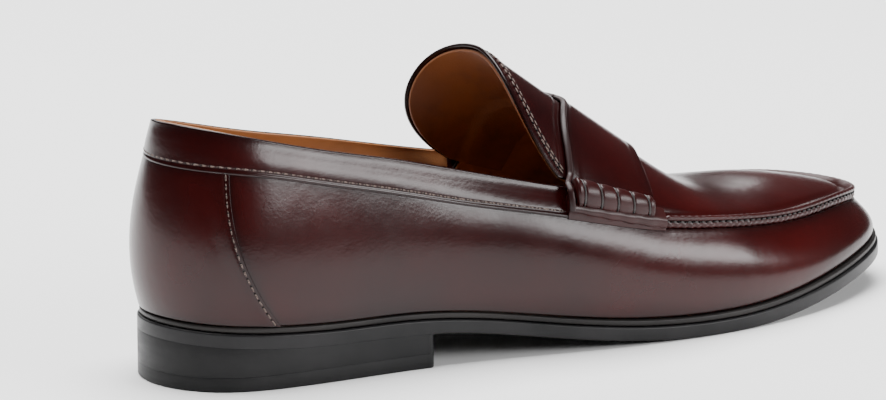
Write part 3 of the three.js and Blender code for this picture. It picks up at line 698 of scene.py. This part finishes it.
def beside(s, inwards, up):
    """A point beside the toe seam, inwards over the foot and up from it, in the seam's tilted frame."""
    s = np.asarray(s, float)
    direction = outward(s)
    out = up * math.sin(SEAM_TILT) - inwards * math.cos(SEAM_TILT)
    rise = up * math.cos(SEAM_TILT) + inwards * math.sin(SEAM_TILT)
    out, rise = np.broadcast_to(out, s.shape), np.broadcast_to(rise, s.shape)
    seam = seam_point(s)
    along, across = seam[..., 0] + direction[..., 0] * out, seam[..., 1] + direction[..., 1] * out
    return np.stack([along, across, seam[..., 2] + rise], -1)


# The middle of the upper's top, from the toe back: along, across, height over the sole, and how full the
# little-toe and big-toe halves are.
ridge = smooth(
    [
        [293.4, 8, 15.4, 0.5, 0.5],
        [289.5, 8, 19.4, 0.6, 0.6],
        [276, 8, 25, 0.62, 0.62],
        [251, 6, 32.4, 0.66, 0.66],
        [221, 3.5, 38.4, 0.7, 0.7],
        [195.5, 2, 53.4, 0.74, 0.74],
        [168, 1, 71.4, 0.76, 0.8],
        [138, 3, 90.3, 1.2, 1.5],
    ],
    False,
)


def instep(d, q):
    """A point of the upper's top: d stations back from the toe, q across it from the little-toe side."""
    a = beside(TIP - d, 3.55, 0.0)
    b = beside(TIP + d, 3.55, 0.0)
    row = ridge(d)
    peak = np.stack([row[..., 0], row[..., 1], sole_top(row[..., 0]) + row[..., 2]], -1)
    middle = (8 * peak - a - b) / 6
    half = np.abs(b[..., 1] - a[..., 1]) / 2
    left, right = middle.copy(), middle.copy()
    left[..., 1] -= half * row[..., 3]
    right[..., 1] += half * row[..., 4]
    return bezier((a, left, right, b), q[..., None])


in_instep = deepened(instep, -1)


def bow(q):
    return np.sin(2 * np.pi * q) ** 2


def strap_front(q):
    return 5.05 + 0.15 * bow(q)


def strap_rear(q):
    return 6 + 0.2 * bow(q)


def tongue_end(q):
    from_middle = np.abs(2 * q - 1)
    little_toe = 7 - 1.3 * from_middle**2.6
    big_toe = 7 + 0.05 * ramp(from_middle, 0, 0.5) - 1.7 * from_middle**8
    return np.where(q < 0.5, little_toe, big_toe)


def top_params(front, rear, little_toe, big_toe):
    def params(i, j):
        q = little_toe + (big_toe - little_toe) * j + 0 * i
        return front(q) + (rear(q) - front(q)) * i, q

    return params


def apron_puff(d, q, from_i, from_j):
    turned_up = 0.9 * (1 - ramp(from_j, 0.2, 3.0)) * (1 - ramp(d, 5.0, 5.3))
    valley = 0.5 * np.exp(-(((from_j - 3.6) / 1.5) ** 2)) * (1 - ramp(d, 5.0, 5.3))
    return turned_up - valley


apron = leaf(
    "apron",
    in_instep,
    top_params(lambda q: 0.2 + 0 * q, strap_rear, 0, 1),
    300, 90, 0.0, LEATHER, oxblood, 0.5, apron_puff,
)
bends(apron, "upper_leather", "apron_instep", "apron_crease", "apron_toe")

apron_lining = leaf(
    "apron_lining",
    in_instep,
    top_params(lambda q: 0.2 + 0 * q, strap_rear, 0, 1),
    120, 40, 1.7, 2.7, lining_leather, 0.3,
)
bends(apron_lining, "lining_leather", "apron_lining_instep", "apron_lining_crease", "apron_lining_toe")


def strap_puff(d, q, from_i, from_j):
    folded = 0.2 * (1 - ramp(from_i, 0.6, 3.2))
    return folded - 0.12 * np.exp(-(((from_i - 3.4) / 0.9) ** 2))


strap = leaf(
    "strap",
    in_instep,
    top_params(strap_front, lambda q: strap_rear(q) + 0.02, 0.03, 0.97),
    80, 170, -1.7, -0.3, oxblood, 0.6, strap_puff,
)
cutter = bpy.data.objects.new("slot cutter", bpy.data.meshes.new("slot cutter"))
bpy.context.scene.collection.objects.link(cutter)
shape = bmesh.new()
SLOT_WIDE, SLOT_LONG, SLOT_SIDES = 1.7, 8.2, 48
turn = np.linspace(0, 2 * math.pi, SLOT_SIDES + 1)[:-1]
lens = [
    (SLOT_WIDE * math.copysign(abs(math.cos(t)) ** 1.1, math.cos(t)), SLOT_LONG * math.sin(t)) for t in turn
]
rings = [[shape.verts.new((x / 1000, y / 1000, z / 1000)) for x, y in lens] for z in (-5, 5)]
for i in range(SLOT_SIDES):
    j = (i + 1) % SLOT_SIDES
    shape.faces.new((rings[0][i], rings[0][j], rings[1][j], rings[1][i]))
shape.faces.new(rings[0][::-1])
shape.faces.new(rings[1])
shape.to_mesh(cutter.data)
shape.free()
middle = instep(np.array(5.53), np.array(0.5))
cutter.location = middle / 1000 + place
cutter.rotation_euler = (0, math.radians(32), 0)
bpy.context.view_layer.update()
cut = strap.modifiers.new("slot", "BOOLEAN")
cut.object = cutter
cut.operation = "DIFFERENCE"
cut.solver = "EXACT"


def baked(piece):
    """The piece's mesh with its modifiers worked in, and the modifiers gone."""
    final = bpy.data.meshes.new_from_object(piece.evaluated_get(bpy.context.evaluated_depsgraph_get()))
    piece.modifiers.clear()
    piece.data = final
    return piece


baked(strap)
strap.data.set_sharp_from_angle(angle=math.radians(50))
bpy.data.objects.remove(cutter)
fixed(strap, "upper_leather", ("strap",), "rear")


def tongue_puff(d, q, from_i, from_j):
    near = np.minimum(from_i, from_j)
    return 0.2 * np.exp(-(((near - 5.0) / 1.6) ** 2)) - 0.2 * np.exp(-(((near - 3.0) / 0.9) ** 2))


HINGE = next(j for j in frame["joints"] if j["name"] == "tongue_tip")
root = Vector(HINGE["pos"] if "pos" in HINGE else HINGE["pos_m"])
TONGUE = {"start": tuple(root + Vector((0.001, 0, -0.0005))), "end": tuple(root + Vector((-0.011, 0, 0.007)))}
tongue = leaf(
    "tongue",
    in_instep,
    top_params(lambda q: strap_rear(q) + 0.02, tongue_end, 0.08, 0.965),
    90, 170, 0.0, LEATHER, oxblood, 0.55, tongue_puff, 1.4,
)
fixed(tongue, "upper_leather", ("tongue",), "rear", "tongue_flap", **TONGUE)

# The tongue's lining is the tan lining leather painted darker: painted shade for its side inside the shoe,
# under the tongue.
tongue_tan_shaded = tan_leather("tongue_lining_leather_shaded", (0.20, 0.06, 0.012), (0.085, 0.024, 0.006), 0.48)


def under_apron(d, q, depth):
    """The tongue's lining runs on forwards beneath the apron's lining, where it is sewn down."""
    return in_instep(d, q, depth + 1.35 * (1 - ramp(d, strap_rear(q) - 0.04, strap_rear(q) + 0.1)))


tongue_lining = leaf(
    "tongue_lining",
    under_apron,
    top_params(lambda q: strap_rear(q) - 0.5, lambda q: tongue_end(q) - 0.035, 0.085, 0.96),
    60, 120, 1.45, 2.7, tongue_tan_shaded, 0.35,
)
fixed(tongue_lining, "lining_leather", ("tongue_lining",), "rear", "tongue_flap", **TONGUE)

# ---- toe seam and beef rolls ----
# The toe seam stands up where the wall and the apron are sewn edge to edge by hand: a gathered bead below,
# a groove that holds the thread, and a thin lip on top. At each end of the strap the same seam is rolled
# round a cord and whipped, which makes the beef roll with its puffed cells and the flat flange under it.


def swept(name, rings, material, rims=0.0, sharp=60):
    """A closed bar from rings of points, capped at both ends."""
    n, k = rings.shape[:2]
    index = np.arange(n * k).reshape(n, k)
    after = np.roll(index, -1, 1)
    quads = np.stack([index[:-1], after[:-1], after[1:], index[1:]], -1).reshape(-1, 4).tolist()
    quads += [tuple(index[0][::-1]), tuple(index[-1])]
    return make(name, rings.reshape(-1, 3), quads, material, sharp, np.full(n * k, rims))


BINDING_REDS = ((0.008, 0.001, 0.0012), (0.018, 0.0014, 0.0014), (0.034, 0.0022, 0.0022))
SEAM_REDS = ((0.01, 0.0011, 0.0013), (0.024, 0.0016, 0.0016), (0.045, 0.0028, 0.0026))
binding_calf = calf("binding_calf", *BINDING_REDS, 0.42, 0.0)
seam_calf = calf("seam_calf", *SEAM_REDS, 0.34, 0.02)
RIDGE_START, RIDGE_END, RIDGE_FADE = 6.04, 15.96, 0.08
s = np.linspace(RIDGE_START, RIDGE_END, 1500)
p = gathers(s) * (0.5 + 0.14 * np.sin(9.1 * s) + 0.14 * np.sin(23.7 * s + 1) + 0.2 * (from_heel(s) < 7.2))
ends = ramp(np.minimum(s - RIDGE_START, RIDGE_END - s), 0, RIDGE_FADE)
ridge_section = [
    (0.95, -0.9 + 0 * p),
    (0.55 - 0.3 * p, -0.5 + 0 * p),
    (0.25 - 0.55 * p, 0.3 + 0 * p),
    (0.28 - 0.62 * p, 1.0 + 0 * p),
    (0.62 - 0.4 * p, 1.65 + 0.1 * p),
    (1.12 - 0.12 * p, 2.05 + 0 * p),
    (1.22 - 0.06 * p, 2.4 + 0 * p),
    (0.95 - 0.16 * p, 2.8 + 0 * p),
    (0.98 - 0.16 * p, 3.3 + 0 * p),
    (1.3 - 0.1 * p, 3.72 + 0.16 * p),
    (1.9, 3.86 + 0.14 * p),
    (2.5, 3.6 + 0.1 * p),
    (2.95, 2.95 + 0.1 * p),
    (3.15, 1.6 + 0 * p),
    (3.2, 0.2 + 0 * p),
    (3.1, -0.9 + 0 * p),
]
rings = np.stack([beside(s, inwards + 0 * p, up) for inwards, up in ridge_section], 1)
centre = rings.mean(1, keepdims=True)
rings = centre + (rings - centre) * (0.5 + 0.5 * ends)[:, None, None]
seam_ridge = swept("toe_seam_ridge", rings, seam_calf, 0.12)
ridge_nodes = [f"seam_rib_{part}" for part in ("lateral", "medial", "crease_lateral", "crease_medial", "toe")]
bends(seam_ridge, "upper_leather", *ridge_nodes)

WHIPS = 5
ROLL_START, ROLL_LENGTH = 5.06, 0.9


def tapered(rear, front, t):
    return rear + (front - rear) * t


def roll_point(s, angle, stout):
    """A point round the beef roll, which leans in over the strap and tapers to the front."""
    t = (from_heel(s) - ROLL_START) / ROLL_LENGTH
    across = tapered(3.6, 2.7, t) * np.cos(angle) * stout
    upright = tapered(5.0, 3.8, t) * np.sin(angle) * stout
    lean = math.radians(39)
    inwards = 4.2 + across * math.cos(lean) + upright * math.sin(lean)
    up = tapered(8.2, 5.6, t) - across * math.sin(lean) + upright * math.cos(lean)
    return beside(s, inwards, up)


def rolled_cells(side, sign):
    """The roll itself: five puffed cells, drawn in at each whip."""
    t = np.linspace(0, 1, 260)
    s = sign * (ROLL_START + ROLL_LENGTH * t)
    whip = t * WHIPS - 0.5
    to_stitch = np.abs(whip - np.round(np.clip(whip, 0, WHIPS - 1)))
    groove = 0.14 * np.exp(-((to_stitch / 0.08) ** 2))
    puffed = 0.98 + 0.08 * np.sin(np.pi * np.minimum(to_stitch, 0.5)) - groove
    cap = np.sqrt(np.clip(1 - np.clip((np.abs(t - 0.5) - 0.45) / 0.05, 0, 1) ** 2, 0.02, 1))
    rings = np.stack([roll_point(s, a, puffed * cap) for a in np.linspace(0, 2 * np.pi, 49)[:-1]], 1)
    roll = swept(f"beef_roll_{side}_cells", rings, seam_calf, 0.1)
    fixed(roll, "upper_leather", (f"beef_roll_{side}",), "rear")


def roll_flange(side, sign):
    """The flat edge of the strap under the roll, rippled by the whips."""
    t = np.linspace(0, 1, 120)
    s = sign * (5.0 + 1.07 * t)
    lip_top, lip_bottom = tapered(4.9, 3.9, t), tapered(2.9, 0.5, t)
    middle = (lip_top + lip_bottom) / 2
    flange_section = [
        (4.4, 1.7),
        (4.4, lip_top + 1.6),
        (0.9, lip_top + 0.3),
        (0.0, lip_top - 0.15),
        (-0.6, lip_top - 0.7),
        (-0.85, middle),
        (-0.95, lip_bottom + 0.6),
        (-0.9, lip_bottom + 0.2),
        (-0.62, lip_bottom - 0.02),
        (-0.5, lip_bottom - 0.3),
        (-0.62, np.minimum(0.5, lip_bottom - 0.42)),
        (-1.0, -0.35),
        (-0.2, -0.6),
        (2.6, 0.1),
    ]
    ripple = 0.16 * np.sin(np.pi * 2 * WHIPS * t + 1.2) * ramp(t, 0.02, 0.1)
    rings = np.stack([beside(s, inwards - ripple * (up > 0.6), up) for inwards, up in flange_section], 1)
    flange = swept(f"beef_roll_flange_{side}", rings, seam_calf, 0.1, 40)
    fixed(flange, "upper_leather", (), "rear")


def strap_binding(side, sign):
    """The folded binding along the strap's rear edge, from the middle over the roll to the collar."""
    q = np.linspace(0.5, 0.09, 90) if sign > 0 else np.linspace(0.5, 0.91, 90)
    over = in_instep(strap_rear(q) + 0.02, q, np.full(q.shape, -1.4))
    round_roll = ((6.8, 9.4), (3.4, 9.0), (0.9, 6.9), (-0.5, 4.6), (-1.1, 2.8))
    down = np.array([beside(sign * 5.02, inwards, up) for inwards, up in round_roll])
    knots = np.vstack([over, down])
    walked = np.r_[0, np.cumsum(np.linalg.norm(np.diff(knots, axis=0), axis=1))]
    even = np.linspace(0, walked[-1], 240)
    line = np.column_stack([np.interp(even, walked, knots[:, k]) for k in range(3)])
    kernel = np.hanning(15) / np.hanning(15).sum()
    padded = np.vstack([np.repeat(line[:1], 7, 0), line, np.repeat(line[-1:], 7, 0)])
    line = np.column_stack([np.convolve(padded[:, k], kernel, "valid") for k in range(3)])
    ahead = np.gradient(line, axis=0)
    ahead /= np.linalg.norm(ahead, axis=1, keepdims=True)
    out = line - np.array([line[:, 0].mean() + 14, 0, 20])
    out = out - (out * ahead).sum(1, keepdims=True) * ahead
    out /= np.linalg.norm(out, axis=1, keepdims=True)
    across = np.cross(ahead, out)
    cap = np.sqrt(np.clip(1 - np.clip((np.abs(np.linspace(-1, 1, 240)) - 0.985) / 0.015, 0, 1) ** 2, 0.05, 1))
    rings = np.stack(
        [
            line + across * (1.1 * np.cos(x) * cap)[:, None] + out * (0.6 * np.sin(x) * cap)[:, None]
            for x in np.linspace(0, 2 * np.pi, 21)[:-1]
        ],
        1,
    )
    binding = swept(f"strap_binding_{side}", rings, binding_calf, 0.25)
    fixed(binding, "upper_leather", (), "rear")


for side, sign in (("lateral", 1), ("medial", -1)):
    rolled_cells(side, sign)
    roll_flange(side, sign)
    strap_binding(side, sign)

# ---- linings ----
# Smooth tan leather lines the quarters, the vamp and the toe. It is glued to the calf and trimmed level
# with the collar, and the two quarters meet in a seam at the back of the heel.


def stiffened(s, v):
    heel = (1 - ramp(from_heel(s), 3.6, 4.2)) * (1 - ramp(v, 1.02, 1.25))
    return np.maximum(heel, ramp(from_heel(s), 7.9, 8.5))


def in_lining(s, v, depth):
    return in_wall(s, v, 1.75 + 2.0 * stiffened(s, v) + depth)


for side, start, end in (("lateral", 0.005, 4.995), ("medial", 17.005, 21.995)):
    lining = leaf(
        f"quarter_lining_{side}_leather",
        in_lining,
        lambda i, j, start=start, end=end: (start + (end - start) * i, 0.02 + 1.98 * j + 0 * i),
        150, 60, 0.0, LINING, lining_leather, 0.4,
    )
    fixed(lining, "lining_leather", (f"quarter_lining_{side}",), "rear")

vamp_lining = leaf(
    "vamp_lining",
    in_lining,
    lambda i, j: (5.005 + 11.99 * i, 0.02 + 0.93 * j + 0 * i),
    320, 20, 0.0, LINING, lining_leather, 0.3,
)
vamp_nodes = [f"{part}_{side}" for part in ("vamp_lining", "lining_crease") for side in ("lateral", "medial")]
bends(vamp_lining, "lining_leather", *vamp_nodes, "toe_lining")

# ---- thread ----
# Every seam is sewn with waxed thread. The rows on the collar, the counter and the tongue are lock-stitched
# in a brown that is paler than the calf, the toe seam and the whips are hand-sewn in a dark one, and each
# stitch goes down into its own small hole. Each hole is drawn as a small dark bead, painted shade of the
# hole.


def waxed(name, dark, light, rough):
    """Waxed thread: twisted strands with a dull shine, darker in the grooves between the turns as painted
    shade.
    """
    found, add, colours, noise, bump, math_of = shader(name)
    where = add("TexCoord").outputs["Object"]
    twist = add("TexWave", {"bands_direction": "DIAGONAL"}, Vector=where, Scale=900.0, Distortion=1.5)
    # The low parts of the twist's bump, the grooves, get the dark colour: painted shade.
    colour = colours(twist.outputs["Fac"], (0.2, dark), (0.8, light))
    normal = bump(twist.outputs["Fac"], 0.4, 0.0001, bump(noise(5000, 2), 0.2, 0.00005))
    add("BsdfPrincipled", Base_Color=colour, Roughness=rough, Normal=normal)
    return found


pale_thread = waxed("pale_thread", (0.06, 0.041, 0.034), (0.16, 0.112, 0.093), 0.6)
dark_thread = waxed("dark_thread", (0.006, 0.004, 0.004), (0.02, 0.012, 0.011), 0.45)
# The needle holes are drawn as tiny near-black beads: painted shade inside each hole.
hole_shade = rubber("needle_hole_shade", (0.001, 0.0008, 0.0008), (0.003, 0.002, 0.002), 0.8)


def line_tree(name, sizes, output):
    """A tree of nodes that takes a line and sizes: with it, a way to add nodes, its inputs and the curve."""
    tree = bpy.data.node_groups.new(name, "GeometryNodeTree")
    tree.interface.new_socket("Line", in_out="INPUT", socket_type="NodeSocketGeometry")
    for label, value in sizes.items():
        socket = tree.interface.new_socket(label, in_out="INPUT", socket_type="NodeSocketFloat")
        socket.default_value = value
    tree.interface.new_socket(output, in_out="OUTPUT", socket_type="NodeSocketGeometry")
    add = adder(tree)
    given = add("NodeGroupInput").outputs
    curve = add("GeometryNodeMeshToCurve", Mesh=given["Line"]).outputs[0]
    return tree, add, given, curve


def stitch_tree(name, thread_material, hole_shade_material):
    """Nodes that lay stitches along a line, at a pitch, with a small dark bead of painted shade at each
    needle hole.
    """
    usual = {"Pitch": 0.003, "Stitch length": 0.0024, "Thickness": 0.0007, "Hole": 0.0003}
    tree, add, given, curve = line_tree(name, usual, "Stitches")

    def laid(source, size, segments, rings, material, seed):
        points = add("GeometryNodeCurveToPoints", {"mode": "LENGTH"}, Curve=source, Length=given["Pitch"])
        aim = add("FunctionNodeAlignRotationToVector", {"axis": "X"}, Vector=points.outputs["Tangent"])
        ball = add("GeometryNodeMeshUVSphere", Segments=segments, Rings=rings, Radius=0.5)
        vary = add("FunctionNodeRandomValue", {"data_type": "FLOAT"}, Seed=seed)
        for socket, value in zip([i for i in vary.inputs if i.type == "VALUE"], (0.9, 1.08)):
            socket.default_value = value
        varied = next(o for o in vary.outputs if o.type == "VALUE")
        scaled = add("ShaderNodeVectorMath", {"operation": "SCALE"}, i0=size, Scale=varied)
        copies = add(
            "GeometryNodeInstanceOnPoints",
            Points=points.outputs["Points"],
            Instance=ball.outputs["Mesh"],
            Rotation=aim.outputs["Rotation"],
            Scale=scaled.outputs[0],
        )
        real = add("GeometryNodeRealizeInstances", i0=copies.outputs["Instances"])
        smoothed = add("GeometryNodeSetShadeSmooth", Geometry=real.outputs[0])
        return add("GeometryNodeSetMaterial", Geometry=smoothed.outputs[0], Material=material).outputs[0]

    def sizes(x, y):
        return add("ShaderNodeCombineXYZ", X=x, Y=y, Z=y).outputs[0]

    stitches = laid(curve, sizes(given["Stitch length"], given["Thickness"]), 8, 7, thread_material, 3)
    half = add("ShaderNodeMath", {"operation": "MULTIPLY"}, i0=given["Pitch"], i1=0.5)
    trimmed = add("GeometryNodeTrimCurve", {"mode": "LENGTH"}, Curve=curve)
    lengths = {socket.identifier: socket for socket in trimmed.inputs}
    tree.links.new(half.outputs[0], lengths["Start_001"])
    lengths["End_001"].default_value = 10.0
    # Dark beads between the stitches: painted shade where the needle holes are.
    holes = laid(trimmed.outputs[0], sizes(given["Hole"], given["Hole"]), 6, 5, hole_shade_material, 5)
    both = add("GeometryNodeJoinGeometry", i0=stitches)
    tree.links.new(holes, both.inputs[0])
    add("NodeGroupOutput", Stitches=both.outputs[0])
    return tree


pale_tree = stitch_tree("pale stitches", pale_thread, hole_shade)
dark_tree = stitch_tree("dark stitches", dark_thread, hole_shade)


def sewn(name, line, tree, body=None, blend=None, nodes_replaced=(), **sizes):
    """Stitches along a line of points, as a plain mesh."""
    points = np.asarray(line) / 1000 + place
    mesh = bpy.data.meshes.new(name)
    mesh.from_pydata(points.tolist(), [(i, i + 1) for i in range(len(points) - 1)], [])
    piece = bpy.data.objects.new(name, mesh)
    bpy.context.scene.collection.objects.link(piece)
    work = piece.modifiers.new("stitches", "NODES")
    work.node_group = tree
    for socket in tree.interface.items_tree:
        if socket.in_out == "INPUT" and socket.name in sizes:
            work[socket.identifier] = sizes[socket.name] / 1000
    baked(piece)
    bodies, zone = blend or ((body,), {})
    return fixed(piece, "thread", nodes_replaced, *bodies, **zone)


FINE = {"Pitch": 2.9, "Stitch length": 2.5, "Thickness": 0.62, "Hole": 0.75}


def v_at(s, distance):
    """The collar band's v at a distance above its lower edge."""
    high = np.linalg.norm(wall(s, 2 + 0 * s) - wall(s, BAND_LOW + 0 * s), axis=-1)
    return BAND_LOW + BAND_SPAN * distance / high


along = np.linspace(-4.93, 4.93, 700)
collar_line = in_wall(along, v_at(along, 1.7), -0.52 + 0 * along)
sewn("collar_stitches", collar_line, pale_tree, "rear", nodes_replaced=("collar_thread",), **FINE)
v = np.linspace(0.03, 0.965, 200)
for side, sign in (("lateral", 1), ("medial", -1)):
    line = in_wall(sign * (counter_seam(v) - 0.03), v, -0.72 + 0 * v)
    sewn_node = (f"counter_thread_{side}",)
    sewn(f"counter_stitches_{side}", line, pale_tree, "rear", nodes_replaced=sewn_node, **FINE)
TIPS = (("rear", "tongue_flap"), TONGUE)
q = np.linspace(0.1, 0.95, 400)
line = in_instep(tongue_end(q) - 0.1, q, -0.08 + 0 * q)
sewn("tongue_stitches_edge", line, pale_tree, blend=TIPS, nodes_replaced=("tongue_thread",), **FINE)
q = np.linspace(0.11, 0.945, 400)
line = in_instep(tongue_end(q) - 0.14, q, -0.1 + 0 * q)
sewn("tongue_stitches_inner", line, pale_tree, blend=TIPS, **FINE)
s = np.linspace(6.1, 15.9, 1800)
line = beside(s, 0.92 + 0 * s, 2.15 + 0 * s)
BOLD = {"Pitch": PITCH, "Stitch length": 2.0, "Thickness": 0.8, "Hole": 0.9}
bend = (("rear", "forefoot"), FLEX)
sewn("toe_seam_stitches", line, dark_tree, blend=bend, nodes_replaced=("seam_rib_thread",), **BOLD)


def cord_tree(name, material):
    """Nodes that run a round cord along a line."""
    tree, add, given, curve = line_tree(name, {"Thickness": 0.0008}, "Cord")
    half = add("ShaderNodeMath", {"operation": "MULTIPLY"}, i0=given["Thickness"], i1=0.5)
    circle = add("GeometryNodeCurvePrimitiveCircle", Resolution=8, Radius=half.outputs[0])
    sockets = {"Curve": curve, "Profile Curve": circle.outputs[0], "Fill Caps": True}
    tube = add("GeometryNodeCurveToMesh", **sockets)
    smoothed = add("GeometryNodeSetShadeSmooth", Geometry=tube.outputs[0])
    real = add("GeometryNodeRealizeInstances", i0=smoothed.outputs[0])
    painted = add("GeometryNodeSetMaterial", Geometry=real.outputs[0], Material=material)
    add("NodeGroupOutput", Cord=painted.outputs[0])
    return tree


whip_tree = cord_tree("whip cord", dark_thread)
for side, sign in (("lateral", 1), ("medial", -1)):
    t = np.linspace(0, 1, 60 * WHIPS + 1)
    turns = t * WHIPS * 2 * np.pi
    slow = t * WHIPS
    eased = (np.floor(slow) + 0.5 + 0.5 * np.sign(slow % 1 - 0.5) * np.abs(2 * (slow % 1) - 1) ** 3) / WHIPS
    line = roll_point(sign * (ROLL_START + ROLL_LENGTH * eased), turns, 0.9)
    whip_node = (f"whip_thread_{side}",)
    sewn(f"whip_cord_{side}", line, whip_tree, "rear", nodes_replaced=whip_node, **{"Thickness": 0.9})

# ---- pieces inside ----
# The counter and the toe puff are stiffened board, the shank is spring steel, the filler is cork, the heel
# pad is foam, and five steel nails hold the heel. They are the shapes as made, each with its own finish.


def finish_nodes(names, material):
    for name in names:
        node = frame["nodes"][name]
        node.data.materials.clear()
        node.data.materials.append(material)


def granular(name, dark, light, rough, scale, metal=0.0, depth=0.0004):
    found, add, colours, noise, bump, math_of = shader(name)
    grains = add("TexVoronoi", Vector=add("TexCoord").outputs["Object"], Scale=scale).outputs["Distance"]
    cloud = noise(scale / 6, 4, 0.6)
    colour = colours(math_of("MULTIPLY", grains, cloud), (0.05, dark), (0.4, light))
    normal = bump(grains, 0.35, depth, bump(cloud, 0.2, depth))
    add("BsdfPrincipled", Base_Color=colour, Roughness=rough, Metallic=metal, Normal=normal)
    return found


fibre = granular("stiffener_board", (0.2, 0.15, 0.09), (0.38, 0.3, 0.2), 0.9, 700)
cork = granular("cork_filler", (0.18, 0.09, 0.035), (0.42, 0.25, 0.12), 0.95, 500)
foam = granular("heel_foam", (0.5, 0.48, 0.42), (0.72, 0.7, 0.64), 0.95, 1500)
steel = granular("spring_steel", (0.3, 0.3, 0.31), (0.55, 0.55, 0.57), 0.35, 1200, 1.0, 0.0001)
finish_nodes(("heel_counter", "toe_puff"), fibre)
finish_nodes(("cork_filler",), cork)
finish_nodes(("heel_pad",), foam)
finish_nodes(("shank", *(f"heel_nail_{i}" for i in range(1, 6))), steel)

# ---- studio ----
# A pale seamless floor, a large soft light overhead, a long strip low at the side and a weak fill.

floor_material, add, colours, noise, bump, math_of = shader("studio_floor")
paper = colours(noise(3, 3, 0.5), (0.3, (0.93, 0.93, 0.93)), (0.7, (0.96, 0.96, 0.96)))
add("BsdfPrincipled", Base_Color=paper, Roughness=0.9, Normal=bump(noise(900, 2), 0.05, 0.0002))
mesh = bpy.data.meshes.new("studio floor")
mesh.from_pydata([(-12, -12, 0), (12, -12, 0), (12, 12, 0), (-12, 12, 0)], [], [(0, 1, 2, 3)])
mesh.materials.append(floor_material)
floor = bpy.data.objects.new("studio floor", mesh)
bpy.context.scene.collection.objects.link(floor)

world = bpy.data.worlds.new("studio")
world.use_nodes = True
world.node_tree.nodes["Background"].inputs["Color"].default_value = (1, 1, 1, 1)
world.node_tree.nodes["Background"].inputs["Strength"].default_value = 0.08
bpy.context.scene.world = world


def softbox(name, place_at, aim_at, width, height, power):
    data = bpy.data.lights.new(name, "AREA")
    data.shape = "RECTANGLE"
    data.size, data.size_y, data.energy = width, height, power
    light = bpy.data.objects.new(name, data)
    light.location = place_at
    light.rotation_mode = "QUATERNION"
    light.rotation_quaternion = (Vector(aim_at) - Vector(place_at)).to_track_quat("-Z", "Y")
    bpy.context.scene.collection.objects.link(light)
    return light


softbox("top_light", (0.0, 0.35, 1.7), (0, 0, 0.05), 1.8, 1.4, 100)
softbox("side_light", (1.35, -1.7, 0.85), (0, 0, 0.05), 2.0, 0.5, 52)
softbox("back_light", (0.5, 1.6, 0.9), (0, 0, 0.05), 1.6, 0.7, 12)

azimuth, elevation, distance = math.radians(33), math.radians(12.5), 3.0
target = Vector((-0.03151, 0.00084, 0.04889))
back = Vector(
    (-math.sin(azimuth) * math.cos(elevation), -math.cos(azimuth) * math.cos(elevation), math.sin(elevation))
)
lens = bpy.data.cameras.new("camera")
lens.sensor_width = 36
lens.lens = 351
camera = bpy.data.objects.new("camera", lens)
camera.location = target + back * distance
camera.rotation_mode = "QUATERNION"
turned = (-back).to_track_quat("-Z", "Y")
camera.rotation_quaternion = turned @ Quaternion((0, 0, 1), math.radians(-0.45))
bpy.context.scene.collection.objects.link(camera)
bpy.context.scene.camera = camera
